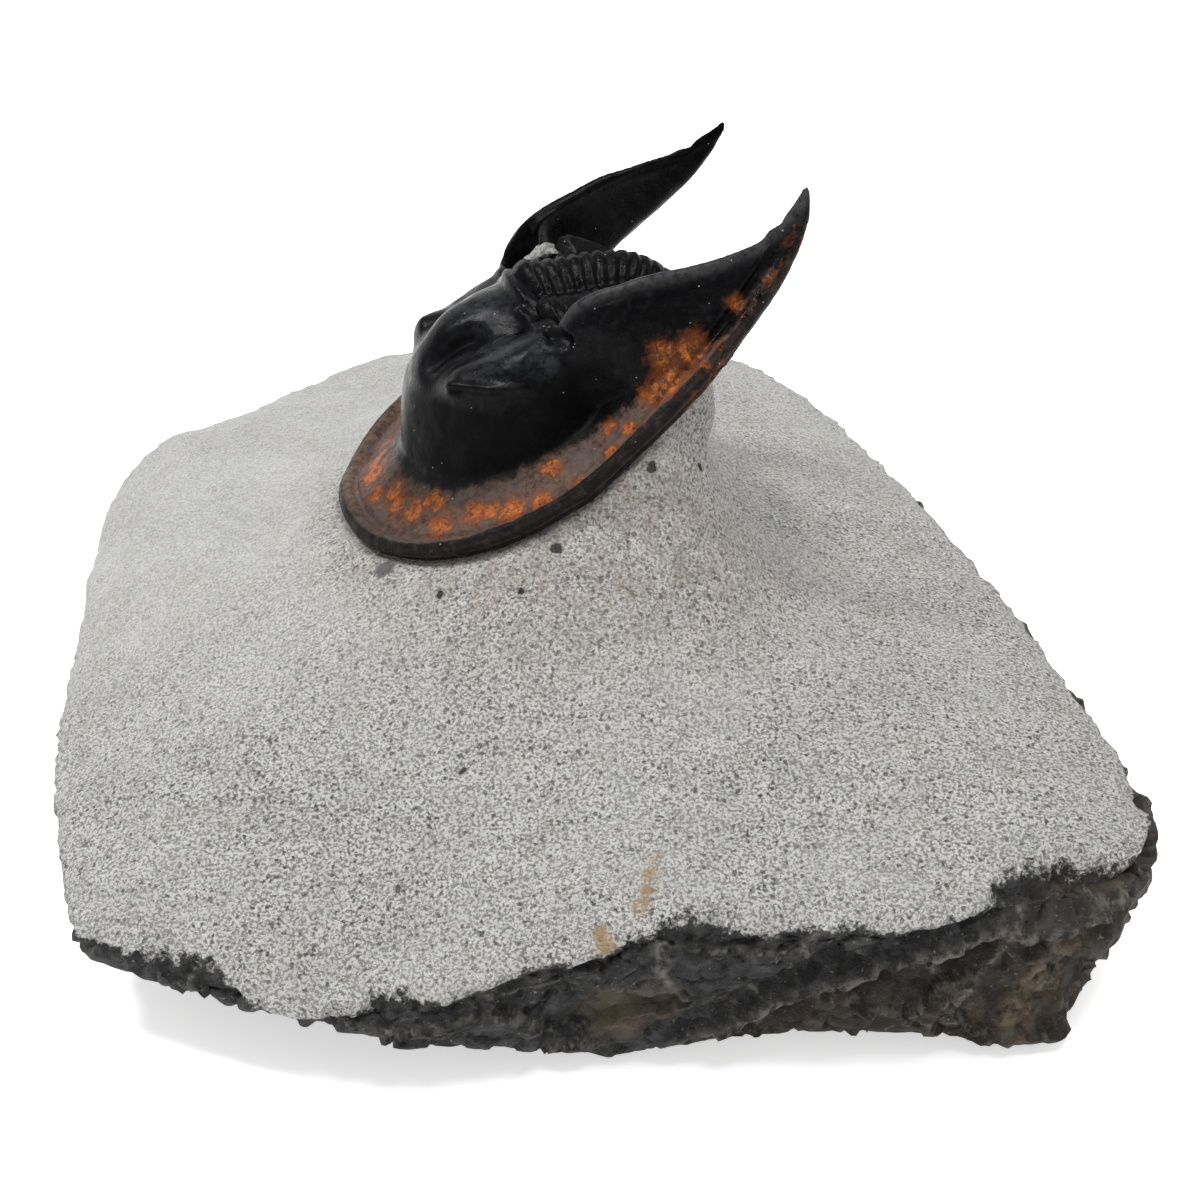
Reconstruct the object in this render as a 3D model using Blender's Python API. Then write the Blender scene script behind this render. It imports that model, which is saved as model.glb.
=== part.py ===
"""A Harpes trilobite standing proud on a block of its own limestone.

The head shield is a horseshoe: a dome with a middle lobe and two eyes, a broad brim round it, and two
long blades behind. The body is a row of narrow rings that bends down behind the head to a small tail.
Lengths are millimetres until a mesh is made. The fossil has its own frame: X to its left, Y backwards,
Z up from the brim. The block is in the world's frame, standing on Z = 0 about the origin.
"""

import math

import bmesh
import bpy
import numpy as np
from mathutils import Euler, Matrix, Vector, noise

MM = 0.001
GAP = 0.3
SEAT_SPARE = 0.38

# Where the fossil stands: its frame's origin and its pitch, roll and heading
FOSSIL_PLACE = (-2.6, -1.7, 29.8)
FOSSIL_PITCH = 29.5
FOSSIL_ROLL = -0.8
FOSSIL_HEADING = -74.6

# Outline of the head shield
HEAD_HALF_WIDTH = 16.9
HEAD_FRONT = 17.0
HEAD_REAR = 26.2
FRONT_LIFT = 1.0
OUTLINE_POWER = 0.9
BLADE_TIP = (8.7, HEAD_REAR, 8.0)
CHEEK_CORNER = (7.7, 5.1, 9.4)
OUTER_EDGE = ((HEAD_HALF_WIDTH, 0, 0), (HEAD_HALF_WIDTH, 4.5, 0.7), (12.1, 24.9, 1.6), BLADE_TIP)
INNER_EDGE = (CHEEK_CORNER, (10.1, 11.5, 12.3), (13.1, 18.1, 4.9), BLADE_TIP)
BORDER_MIDDLE = 5.05
RIGHT_BLADE_SHORTER = 1.0
RIGHT_BRIM_LOWER = 1.2

# Relief of the head shield
BEAD_WIDTH = 1.2
BEAD_HEIGHT = 0.55
RIM_DEPTH = 0.85
RIM_TUCK = 0.25
BRIM_RISE = 1.4
BRIM_FRONT = 6.9
BRIM_SIDE = 7.3
BRIM_BLADE_SHARE = 0.46
DOME_RISE_FRONT = 5.3
DOME_RISE_SIDE = 3.8
DOME_CURVE_FRONT = (1.8, 1.0)
DOME_CURVE_SIDE = (2.0, 0.5)
CHEEK_HEIGHT = 8.6
LOBE_CREST = (
    (-10.1, 3.0), (-9.2, 4.8), (-8.1, 6.5), (-6.8, 8.2), (-5.2, 9.6), (-3.5, 10.5), (-1.8, 11.0),
    (0.0, 11.0), (1.7, 10.8), (3.2, 10.4), (5.0, 10.3),
)
LOBE_HALF_WIDTH = (3.4, 4.9)
FURROW_DEPTH = 0.5
EYE_PLACE = (6.0, -3.0)
EYE_RADIUS = 1.6
EYE_HEIGHT = 0.9
NECK_RING_PLACE = 4.1
NECK_RING_HEIGHT = 0.6
BLADE_THICKNESS = 1.2
TIP_SHARE = 0.985
CHEEK_SHARE = 0.2
HEAD_COLUMNS = (14, 3, 15)
UNDERSIDE_PICKS = [0, 3, 7, 10, 12, 15, 18]

# Body
BODY_CREST = ((5.4, 11.1), (8.5, 8.4), (14.5, 8.6), (14.9, 1.8))
BODY_LEAN = 85.0
BODY_RINGS = 17
BODY_DEPTH = 4.2
BODY_HALF_WIDTH = (6.2, 7.4, 4.8)
AXIS_HALF_WIDTH = (2.7, 2.4, 1.5)
AXIS_HEIGHT = 1.7
RING_RELIEF = 0.4
TAIL_LENGTH = 2.6
TAIL_DEPTH = 1.4

# Block: top edge, ridge under it and foot, each a ring of (x, y, z) about the origin
TOP_EDGE = (
    (41.5, -43.5, 15.0), (41.8, -30.0, 15.0), (36.5, -5.0, 14.5), (32.0, 13.5, 14.0), (24.0, 34.0, 14.0),
    (16.5, 45.5, 14.0), (9.0, 49.4, 14.0), (-8.0, 49.4, 14.0), (-19.5, 46.5, 14.0), (-30.0, 36.0, 13.0),
    (-40.0, 25.5, 12.0), (-41.9, 18.0, 11.5), (-40.5, 0.0, 11.0), (-38.5, -20.0, 10.0), (-34.5, -41.0, 8.0),
    (-25.0, -46.0, 7.5), (-13.5, -49.0, 6.5), (-5.5, -49.5, 9.0), (-1.0, -48.5, 11.0), (8.5, -47.5, 13.5),
    (15.0, -48.0, 13.0), (26.5, -47.5, 13.5), (30.0, -46.0, 15.0),
)
RIDGE = (
    (41.0, -43.2, 12.5), (41.5, -30.0, 9.0), (36.0, -5.0, 7.0), (31.5, 13.5, 7.5), (23.5, 33.0, 8.0),
    (9.0, 48.0, 7.0), (-8.0, 48.5, 6.0), (-19.5, 45.0, 7.0), (-30.0, 35.0, 6.5), (-40.5, 24.0, 6.0),
    (-40.0, 0.0, 6.5), (-38.0, -20.0, 6.0), (-33.5, -40.0, 5.5), (-24.5, -45.0, 5.0), (-12.5, -47.5, 4.5),
    (-6.0, -47.0, 3.5), (0.0, -45.5, 2.0), (6.5, -45.0, 2.0), (11.0, -45.3, 4.0), (16.5, -45.9, 7.0),
    (24.5, -46.5, 11.0), (29.5, -45.5, 12.5),
)
FOOT = (
    (36.0, -42.8), (37.0, -28.0), (31.5, -5.0), (27.5, 12.0), (19.5, 30.0), (8.0, 42.0), (-8.0, 43.0),
    (-18.0, 39.5), (-28.0, 29.0), (-33.0, 20.0), (-33.0, 0.0), (-29.0, -20.0), (-22.0, -33.0),
    (-9.0, -40.0), (0.0, -43.5), (6.5, -44.0), (15.0, -42.5), (26.0, -43.5), (34.0, -45.0),
)
SLAB_FOOT_HEIGHT = 20.0
SLAB_CROWN = 1.5
NECK_REACH = 1.5
FLARE_LENGTHS = ((-90, 7.5), (0, 2.4), (90, 4.5), (180, 5.0))
BLOCK_COLUMNS = 72
FLARE_STATIONS = (0.0, 0.03, 0.07, 0.12, 0.18, 0.26, 0.38, 0.52, 0.68, 0.84, 1.0)
ROCK_SEED = 7
EDGE_ROUGHNESS = 0.55
TOP_ROUGHNESS = 0.12
SEAT_HALF_WIDTH = 16.2
SEAT_FRONT = 16.4
SEAT_REAR = 14.0
SEAT_REAR_POWER = 0.76
SEAT_LEVEL = 0.3
SEAT_REAR_LIFT = 1.8
NECK_DEPTHS = ((-90, 0.6), (0, 1.8), (90, 1.0), (180, 0.3))

# Stone left between the blades and under the body: (height, middle, half width, front, rear)
MOUND_RINGS = (
    (-5.0, 0.0, 12.5, -1.0, 12.5), (-1.0, 0.0, 13.8, 0.0, 14.1), (2.0, 0.2, 9.4, 0.5, 13.3),
    (5.0, -1.2, 7.6, 2.0, 11.8), (7.0, -2.9, 5.6, 4.4, 10.6), (8.0, -5.2, 3.2, 4.8, 9.6), (8.6, -6.4, 1.7, 5.2, 8.4),
)
MOUND_COLUMNS = 28
MOUND_POWER = 0.76

STONE = ((0.44, 0.43, 0.41, 1.0), 0.95)
FOSSIL_BLACK = ((0.012, 0.012, 0.014, 1.0), 0.35)


def smooth(value, low, high):
    """Go from 0 at low to 1 at high with level ends."""
    share = np.clip((value - low) / (high - low), 0, 1)
    return share * share * (3 - 2 * share)


def bezier(points, t):
    """Return the point at t on the cubic through the first and last of four points."""
    a, b, c, d = (np.array(point, float) for point in points)
    return (1 - t) ** 3 * a + 3 * (1 - t) ** 2 * t * b + 3 * (1 - t) * t * t * c + t**3 * d


def mix(a, b, share):
    """Return the value a share of the way from a to b."""
    return a + (b - a) * share


def three_way(values, t):
    """Return the value at t from 0 to 1 through a start, a middle and an end value."""
    return float(np.interp(t, (0, 0.5, 1), values))


def outline_front(angle, half_width, length, power):
    """Return x and y on the rounded front of an outline, with the angle from the midline."""
    return half_width * math.sin(angle) ** power, -length * math.cos(angle) ** power


def head_columns(front_columns, cheek_columns, blade_columns):
    """List the cross-sections of one half, from the midline to the blade's tip.

    Each is (rim point, inner point, way along the blade from 0 to 1, turn from the front in degrees).
    """
    columns = []
    fixed = front_columns + cheek_columns
    for i in range(fixed):
        share = i / fixed
        inner_x = CHEEK_CORNER[0] * share
        inner_y = mix(BORDER_MIDDLE, CHEEK_CORNER[1], share**2)
        if i <= front_columns:
            angle = 0.5 * math.pi * i / front_columns
            x, y = outline_front(angle, HEAD_HALF_WIDTH, HEAD_FRONT, OUTLINE_POWER)
            rim = np.array((x, y, FRONT_LIFT * (y / HEAD_FRONT) ** 2))
        else:
            angle = 0.5 * math.pi
            rim = bezier(OUTER_EDGE, CHEEK_SHARE * (i - front_columns) / cheek_columns)
        columns.append((rim, np.array((inner_x, inner_y, CHEEK_CORNER[2])), 0.0, math.degrees(angle)))
    for i in range(blade_columns + 1):
        way = TIP_SHARE * i / blade_columns
        rim = bezier(OUTER_EDGE, mix(CHEEK_SHARE, 1.0, way))
        columns.append((rim, bezier(INNER_EDGE, way), way, 90.0))
    return columns


def head_relief(x, y, level):
    """Raise a level of the dome by the middle lobe, its furrows, the eyes and the neck ring."""
    across = np.abs(x)
    half = mix(*LOBE_HALF_WIDTH, smooth(y, -6.0, 3.0))
    crest = np.interp(y, *zip(*LOBE_CREST))
    lobe = (crest - level) * np.clip(1 - (across / half) ** 2, 0, 1) ** 1.3
    furrow = -FURROW_DEPTH * smooth(y, -5.5, -2.5) * np.exp(-(((across - 0.9 * half) / 0.7) ** 2))
    reach = np.hypot(across - EYE_PLACE[0], y - EYE_PLACE[1])
    eye = EYE_HEIGHT * np.exp(-((reach / EYE_RADIUS) ** 2))
    ring = NECK_RING_HEIGHT * np.exp(-(((y - NECK_RING_PLACE) / 0.55) ** 2)) * smooth(-across, -6.5, -3.0)
    groove = -0.5 * np.exp(-(((y - NECK_RING_PLACE + 1.3) / 0.5) ** 2)) * smooth(-across, -7.5, -5.0)
    return level + lobe + furrow + eye + ring + groove


def head_section(rim, inner, way, turn, spare=0.0):
    """Return the closed section of the head shield between a rim point and an inner point.

    With some spare it is a plainer section that clears the shield's by that much, for cutting its seat.
    """
    run = inner[:2] - rim[:2]
    length = float(np.hypot(*run))
    across = np.append(run / length, 0.0)
    chord = float(np.linalg.norm(inner - rim))
    small = min(1.0, chord / 5.0)
    side = smooth(turn, 20, 85)
    brim = min(mix(BRIM_FRONT, BRIM_SIDE, side), 0.72 * length)
    brim = mix(brim, BRIM_BLADE_SHARE * length, smooth(way, 0, 0.2))
    rise = mix(DOME_RISE_FRONT, DOME_RISE_SIDE, side)
    rise = min(mix(rise, length - brim, smooth(way, 0, 0.12)), length - brim)
    spread = min(rise, 0.62 * (length - brim))
    bead = min(BEAD_WIDTH * small, 0.35 * brim)
    steps = [0.0, 0.35 * bead, 0.75 * bead, 1.3 * bead]
    steps += [mix(1.3 * bead, brim, share) for share in (0.3, 0.62, 0.85, 1.0)]
    steps += [brim + spread * share for share in (0.12, 0.32, 0.55, 0.78, 1.0)]
    steps += [mix(brim + spread, length, share) for share in (0.22, 0.45, 0.65, 0.8, 0.9, 1.0)]
    steps = np.array(steps)
    rim_top = rim[2] + RIM_DEPTH * small
    base = rim_top + BRIM_RISE * small * smooth(steps, 0.2 * brim, 1.25 * brim)
    sweep = mix(rim_top, inner[2], 0.55 * (steps / length) ** 1.5)
    base = mix(base, sweep, smooth(way, 0, 0.3))
    top = mix(CHEEK_HEIGHT, inner[2], smooth(way, -0.05, 0.1))
    curve = mix(np.array(DOME_CURVE_FRONT), np.array(DOME_CURVE_SIDE), side * (1 - smooth(way, 0, 0.2)))
    dome = (1 - (1 - np.clip((steps - brim) / rise, 0, 1)) ** curve[0]) ** curve[1]
    upper = rim + np.outer(steps, across)
    level = mix(base, top, dome)
    on_dome = smooth(steps, brim - 0.2, brim + 0.5 * rise) * (1 - smooth(way, 0, 0.06))
    upper[:, 2] = mix(level, head_relief(upper[:, 0], upper[:, 1], level), on_dome)
    upper[:4, 2] += BEAD_HEIGHT * small * np.array((0.1, 0.85, 0.8, -0.15))
    picked = upper[UNDERSIDE_PICKS]
    level = picked.copy()
    level[:, 2] = rim[2]
    down = (across * (inner[2] - rim[2]) - np.array((0, 0, length))) / chord
    thick = BLADE_THICKNESS * mix(0.45, 1.0, small) * np.linspace(1.0, 0.6, len(picked))
    on_blade = float(smooth(way, 0.02, 0.22))
    lower = mix(level, picked + np.outer(thick, down), on_blade)
    lower[0] = rim + RIM_TUCK * small * across
    if spare:
        away = mix(np.array((0.0, 0.0, -1.0)), down, on_blade) * spare
        upper = picked - 1.6 * away
        lower = lower + away
        for line in (upper, lower):
            line[0] -= across * spare
            line[-1] += across * spare
    return np.concatenate((upper, lower[::-1]))


def right_side_lower(x, y):
    """Return how much lower the right half of the dome and brim is than the left, x to its right."""
    reach = np.hypot(x - EYE_PLACE[0], y - EYE_PLACE[1])
    off_eye = 1 - np.exp(-((reach / (1.3 * EYE_RADIUS)) ** 2))
    return RIGHT_BRIM_LOWER * smooth(x, 1, 9) * (1 - smooth(y, 4, 16)) * off_eye


def both_halves(columns, spare=0.0):
    """Return the sections from the right blade's tip round the front to the left blade's tip."""
    sections = [head_section(*column, spare) for column in columns]
    mirrored = []
    for section in sections[:0:-1]:
        other = section * np.array((-1, 1, 1))
        other[:, 1] -= RIGHT_BLADE_SHORTER * np.clip(other[:, 1] / HEAD_REAR, 0, 1) ** 1.5
        other[:, 2] -= right_side_lower(-other[:, 0], other[:, 1])
        mirrored.append(other)
    return mirrored + sections


def body_station(t, lift, spare=0.0):
    """Return the closed section of the body at t along its crest, raised by lift and grown by spare."""
    crest = bezier(BODY_CREST, t)
    lean = math.radians(BODY_LEAN) * t
    down = np.array((-math.sin(lean), -math.cos(lean)))
    half = three_way(BODY_HALF_WIDTH, t)
    axis = three_way(AXIS_HALF_WIDTH, t)
    upper = []
    for share in (0.0, 0.4, 0.75, 1.0):
        upper.append((axis * share, AXIS_HEIGHT * (1 - math.cos(0.5 * math.pi * share)) - lift))
    for share in (0.3, 0.6, 0.85, 1.0):
        fall = AXIS_HEIGHT + 0.12 - 0.35 * math.sin(math.pi * share) + 2.0 * share**3
        upper.append((mix(axis, half + spare, share), fall - 0.7 * lift))
    left = upper + [(half - 0.4 + spare, BODY_DEPTH + spare), (0.0, BODY_DEPTH + spare)]
    ring = left + [(-x, fall) for x, fall in left[-2:0:-1]]
    return np.array([(x, crest[0] + down[0] * fall, crest[1] + down[1] * fall) for x, fall in ring])


def body_sections():
    """Return the body's sections, three to a ring: its front furrow, its crest and its rear."""
    stations = []
    for ring in range(BODY_RINGS):
        for share, lift in ((0.0, -0.5 * RING_RELIEF), (0.35, 0.5 * RING_RELIEF), (0.85, 0.35 * RING_RELIEF)):
            stations.append(body_station((ring + share) / BODY_RINGS, lift))
    stations.append(body_station(1.0, -0.5 * RING_RELIEF))
    return stations


def body_seat_sections():
    """Return plain sections that clear the body, for cutting its seat."""
    return [body_station(t, RING_RELIEF + 2 * GAP, SEAT_SPARE) for t in np.linspace(-0.03, 1.03, 12)]


def tail_sections():
    """Return the tail shield's sections, which carry on from the body and close to a rounded end."""
    crest = bezier(BODY_CREST, 1.0)
    sections = []
    for share in (0.0, 0.25, 0.5, 0.75, 0.93):
        full = math.sqrt(1 - share**2)
        half = BODY_HALF_WIDTH[2] * 0.92 * full
        axis = AXIS_HALF_WIDTH[2] * (1 - share)
        level = crest[1] - GAP - 0.2 - TAIL_LENGTH * share
        front = crest[0] - 0.15
        ridge = AXIS_HEIGHT * 0.7 * (1 - share)
        outer = ((0.0, 0.0), (axis, 0.6 * ridge), (0.5 * half + 0.3 * axis, ridge), (half, ridge + 0.5 * full))
        ring = [(x, front - back, level) for x, back in outer]
        ring += [(half * 0.9, front - ridge - TAIL_DEPTH, level), (0.0, front - ridge - TAIL_DEPTH, level)]
        sections.append(np.array(ring + [(-x, y, z) for x, y, z in ring[-2:0:-1]]))
    return sections


def mound_sections():
    """Return the rings of the stone left between the blades and under the body, from the bottom up."""
    sections = []
    for height, middle, half, front, rear in MOUND_RINGS:
        ring = []
        for i in range(MOUND_COLUMNS):
            turn = 2 * math.pi * i / MOUND_COLUMNS
            side = math.copysign(abs(math.cos(turn)) ** MOUND_POWER, math.cos(turn))
            ahead = math.copysign(abs(math.sin(turn)) ** MOUND_POWER, math.sin(turn))
            ring.append((middle + half * side, mix(front, rear, 0.5 + 0.5 * ahead), height))
        sections.append(np.array(ring))
    return sections


def fossil_matrix():
    """Return the matrix from the fossil's frame to the world, in millimetres."""
    turn = Euler([math.radians(a) for a in (FOSSIL_PITCH, FOSSIL_ROLL, FOSSIL_HEADING)], "YXZ")
    return Matrix.Translation(FOSSIL_PLACE) @ turn.to_matrix().to_4x4()


def seat_outline(steps):
    """Return the points of the seat's outline in the world, going once round."""
    placed = fossil_matrix()
    points = []
    for i in range(steps):
        turn = 2 * math.pi * i / steps
        side, ahead = math.sin(turn), math.cos(turn)
        power = OUTLINE_POWER if ahead > 0 else SEAT_REAR_POWER
        length = SEAT_FRONT if ahead > 0 else -SEAT_REAR
        x = SEAT_HALF_WIDTH * math.copysign(abs(side) ** power, side)
        y = -length * abs(ahead) ** power
        lift = (FRONT_LIFT if ahead > 0 else SEAT_REAR_LIFT) * (y / length) ** 2
        lift -= float(right_side_lower(-x, y))
        points.append(placed @ Vector((x, y, SEAT_LEVEL + lift)))
    return points


def ring_at(points, centre, angles):
    """Return a ring of points as seen from a centre: one point for each of the given angles."""
    dense = []
    for a, b in zip(points, list(points[1:]) + [points[0]]):
        dense += [mix(np.array(a, float), np.array(b, float), share) for share in np.linspace(0, 1, 8)[:-1]]
    dense = np.array(dense)
    turn = np.arctan2(dense[:, 1] - centre[1], dense[:, 0] - centre[0])
    order = np.argsort(turn)
    return np.stack([np.interp(angles, turn[order], dense[order, k], period=2 * math.pi) for k in range(3)], axis=1)


def around(values, angles):
    """Return a size at each angle from a few (degrees, size) pairs round the circle."""
    turns, sizes = zip(*values)
    return np.interp(np.degrees(angles), turns, sizes, period=360)


def roughened(point, scale, amount, seed):
    """Move a point by smooth noise of the given wavelength and amount."""
    place = Vector(point) / scale + Vector((seed, 3.7 * seed, -1.9 * seed))
    return np.array(point) + amount * np.array(noise.noise_vector(place))


def block_sections():
    """Return the block's rings, from the seat's middle over the top, down the sides and under the foot."""
    seat_points = [tuple(point) for point in seat_outline(72)]
    centre = np.mean(np.array(seat_points), axis=0)
    angles = np.linspace(-math.pi, math.pi, BLOCK_COLUMNS, endpoint=False)
    seat = ring_at(seat_points, centre, angles)
    edge = ring_at(TOP_EDGE, centre, angles)
    ridge = ring_at(RIDGE, centre, angles)
    foot = ring_at([(x, y, 0.0) for x, y in FOOT], centre, angles)
    flare = around(FLARE_LENGTHS, angles)
    neck = around(NECK_DEPTHS, angles)
    outward = np.stack((np.cos(angles), np.sin(angles)), axis=1)
    rings = [mix(centre, seat, 0.5)]
    for share in FLARE_STATIONS:
        ring = mix(seat, edge, share)
        slab = mix(edge[:, 2], SLAB_FOOT_HEIGHT, 1 - share**SLAB_CROWN)
        away = share * np.hypot(edge[:, 0] - seat[:, 0], edge[:, 1] - seat[:, 1])
        ring[:, 2] = slab + (seat[:, 2] - SLAB_FOOT_HEIGHT) * np.exp(-((away / flare) ** 1.3))
        waist = neck * (away / NECK_REACH) * np.exp(1 - away / NECK_REACH)
        ring[:, :2] -= outward * waist[:, None]
        if share > 0.05:
            ring = np.array([roughened(point, 6.0, TOP_ROUGHNESS, 1.0) for point in ring])
        rings.append(ring)
    rings[-1] = np.array([roughened(point, 5.0, EDGE_ROUGHNESS, 2.0) for point in rings[-1]])
    middle = mix(rings[-1], ridge, 0.5)
    rings.append(np.array([roughened(point, 4.0, EDGE_ROUGHNESS, 3.0) for point in middle]))
    rings.append(np.array([roughened(point, 4.5, EDGE_ROUGHNESS, 4.0) for point in ridge]))
    for share in (0.4, 0.75):
        ring = mix(ridge, foot, share)
        ring[:, 2] = mix(ridge[:, 2], 0.0, share**0.8)
        rings.append(np.array([roughened(point, 4.0, EDGE_ROUGHNESS, 5.0 + share) for point in ring]))
    rings.append(foot)
    rings.append(mix(np.array((centre[0], centre[1], 0.0)), foot, 0.5))
    return rings, centre


def lofted(name, sections, ends=(None, None)):
    """Make a closed mesh through rings of as many points each.

    An end is closed by one face, or where its entry in ends is a point, by a fan to that point.
    """
    shape = bmesh.new()
    rings = [[shape.verts.new(point * MM) for point in section] for section in sections]
    for ring, following in zip(rings, rings[1:]):
        for i in range(len(ring)):
            j = (i + 1) % len(ring)
            shape.faces.new((ring[i], ring[j], following[j], following[i]))
    for ring, end in ((rings[0], ends[0]), (rings[-1], ends[1])):
        if end is None:
            shape.faces.new(ring)
            continue
        tip = shape.verts.new(Vector(end) * MM)
        for i in range(len(ring)):
            shape.faces.new((ring[i], ring[(i + 1) % len(ring)], tip))
    bmesh.ops.recalc_face_normals(shape, faces=shape.faces)
    mesh = bpy.data.meshes.new(name)
    shape.to_mesh(mesh)
    shape.free()
    return mesh


def grown(mesh, name, amount):
    """Return a copy of a mesh with every point moved outwards along its normal."""
    shape = bmesh.new()
    shape.from_mesh(mesh)
    shape.normal_update()
    moves = [(vertex, vertex.normal * amount * MM) for vertex in shape.verts]
    for vertex, move in moves:
        vertex.co += move
    copy = bpy.data.meshes.new(name)
    shape.to_mesh(copy)
    shape.free()
    return copy


def finish(name, look):
    """Make a plain material of one colour and roughness."""
    colour, roughness = look
    material = bpy.data.materials.new(name)
    material.use_nodes = True
    shader = material.node_tree.nodes["Principled BSDF"]
    shader.inputs["Base Color"].default_value = colour
    shader.inputs["Roughness"].default_value = roughness
    shader.inputs["Metallic"].default_value = 0.0
    return material


def add_object(mesh, name, collection, parent=None):
    """Put a mesh in a collection as an object, under a parent where one is given."""
    made = bpy.data.objects.new(name, mesh)
    made.parent = parent
    collection.objects.link(made)
    return made


def add_piece(mesh, name, look, collection, parent=None):
    """Put a mesh in a collection as a visible piece with its own material."""
    mesh.shade_smooth()
    mesh.set_sharp_from_angle(angle=math.radians(40))
    mesh.materials.append(finish(name + "_finish", look))
    return add_object(mesh, name, collection, parent)


def add_cutter(mesh, name, collection, parent):
    """Put a mesh in a collection as a hidden cutter."""
    cutter = add_object(mesh, name, collection, parent)
    cutter.hide_render = True
    cutter.display_type = "WIRE"
    return cutter


def cut_or_join(piece, other, operation):
    """Join another object to a piece, or cut it away."""
    step = piece.modifiers.new(other.name, "BOOLEAN")
    step.operation = operation
    step.solver = "EXACT"
    step.object = other


def new_collection(name):
    """Make a collection in the scene."""
    made = bpy.data.collections.new(name)
    bpy.context.scene.collection.children.link(made)
    return made


def clear_scene():
    """Remove every object that is already there."""
    for old in list(bpy.data.objects):
        bpy.data.objects.remove(old, do_unlink=True)


def main():
    """Build the block and the fossil on it."""
    clear_scene()
    noise.seed_set(ROCK_SEED)
    pieces = new_collection("fossil_harpes_trilobite")
    cutters = new_collection("cutters")
    frame = bpy.data.objects.new("fossil_frame", None)
    frame.rotation_mode = "YXZ"
    frame.location = Vector(FOSSIL_PLACE) * MM
    frame.rotation_euler = [math.radians(a) for a in (FOSSIL_PITCH, FOSSIL_ROLL, FOSSIL_HEADING)]
    pieces.objects.link(frame)

    rings, centre = block_sections()
    under = Vector((centre[0], centre[1], 0.0))
    block = add_piece(lofted("matrix", rings, (centre, under)), "matrix", STONE, pieces)
    mound = add_cutter(lofted("mound", mound_sections()), "mound", cutters, frame)
    cut_or_join(block, mound, "UNION")

    meshes = {
        "cephalon": lofted("cephalon", both_halves(head_columns(*HEAD_COLUMNS))),
        "thorax": lofted("thorax", body_sections()),
        "pygidium": lofted("pygidium", tail_sections()),
    }
    seats = {
        "cephalon": lofted("cephalon_seat", both_halves(head_columns(*HEAD_COLUMNS), SEAT_SPARE)),
        "thorax": lofted("thorax_seat", body_seat_sections()),
        "pygidium": grown(meshes["pygidium"], "pygidium_seat", SEAT_SPARE),
    }
    for name, mesh in meshes.items():
        add_piece(mesh, name, FOSSIL_BLACK, pieces, frame)
        seat = add_cutter(seats[name], name + "_seat", cutters, frame)
        cut_or_join(block, seat, "DIFFERENCE")


main()
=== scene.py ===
"""A black fossil trilobite on its block of sandblasted limestone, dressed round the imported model.

Each visible piece starts as a copy of its solid, which is merged, smoothed, remeshed finely and then
sculpted: rim, furrows, eye ledge and rings on the fossil, grain, pits, chips and ledges on the stone.
Lengths in the classes are millimetres; meshes are in metres.
"""

import logging
import math
from collections.abc import Iterator
from contextlib import contextmanager
from dataclasses import dataclass, field
from enum import Enum
from itertools import product

import bpy
import numpy as np
from mathutils import Euler, Matrix, Vector


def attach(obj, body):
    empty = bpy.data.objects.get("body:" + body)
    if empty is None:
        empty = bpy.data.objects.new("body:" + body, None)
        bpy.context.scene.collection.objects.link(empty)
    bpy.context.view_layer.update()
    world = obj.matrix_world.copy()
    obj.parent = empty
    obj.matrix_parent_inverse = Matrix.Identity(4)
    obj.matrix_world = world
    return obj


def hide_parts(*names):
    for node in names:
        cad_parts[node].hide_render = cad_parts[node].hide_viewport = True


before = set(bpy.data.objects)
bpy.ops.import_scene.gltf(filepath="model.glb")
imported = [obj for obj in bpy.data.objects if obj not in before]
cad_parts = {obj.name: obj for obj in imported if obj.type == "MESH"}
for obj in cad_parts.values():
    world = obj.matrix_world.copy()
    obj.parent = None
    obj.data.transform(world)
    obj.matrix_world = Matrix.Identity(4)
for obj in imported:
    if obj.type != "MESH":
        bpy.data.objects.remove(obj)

LOG = logging.getLogger("fossil")
MM = 0.001
Colour = tuple[float, float, float]
Array = np.ndarray
Object = bpy.types.Object


class Skin(Enum):
    """How a piece of fossil shell is coloured."""

    SHIELD = "brown brim with rust patches, black dome"
    BODY = "black all over"


# Small helpers for numbers


def smooth(value: Array, low: float, high: float) -> Array:
    """Go from 0 at low to 1 at high with level ends.

    Args:
        value: The numbers to grade.
        low: Where the result is 0.
        high: Where the result is 1.

    Returns:
        Shares from 0 to 1.
    """
    share = np.clip((value - low) / (high - low), 0, 1)
    return share * share * (3 - 2 * share)


def hill(distance: Array, width: float) -> Array:
    """Return a bell of height 1 at distance 0, about width wide on each side."""
    return np.exp(-((distance / width) ** 2))


def scramble(cells: Array, seed: int) -> Array:
    """Return a number from 0 to 1 for each whole-number cell, always the same one.

    Args:
        cells: Rows of three whole numbers.
        seed: Picks one of many such patterns.

    Returns:
        One number a row.
    """
    mixed = (cells[:, 0] * 73856093) ^ (cells[:, 1] * 19349663) ^ (cells[:, 2] * 83492791)
    mixed = (mixed ^ (seed * 374761393)) & 0x7FFFFFFF
    mixed = ((mixed ^ (mixed >> 13)) * 1274126177) & 0x7FFFFFFF
    mixed = mixed ^ (mixed >> 16)
    return (mixed & 0xFFFF) / 0xFFFF


def noise_at(points: Array, size: float, seed: int) -> Array:
    """Return smooth noise from -1 to 1.

    Args:
        points: Rows of x, y and z in millimetres.
        size: The size of a lump in millimetres.
        seed: Picks one of many such patterns.

    Returns:
        One number a row.
    """
    place = points / size + 0.37 * seed
    base = np.floor(place).astype(np.int64)
    part = place - base
    part = part * part * (3 - 2 * part)
    total = np.zeros(len(points))
    for corner in product((0, 1), repeat=3):
        weight = np.prod(np.where(corner, part, 1 - part), axis=1)
        total += weight * (2 * scramble(base + np.array(corner), seed) - 1)
    return total


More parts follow.
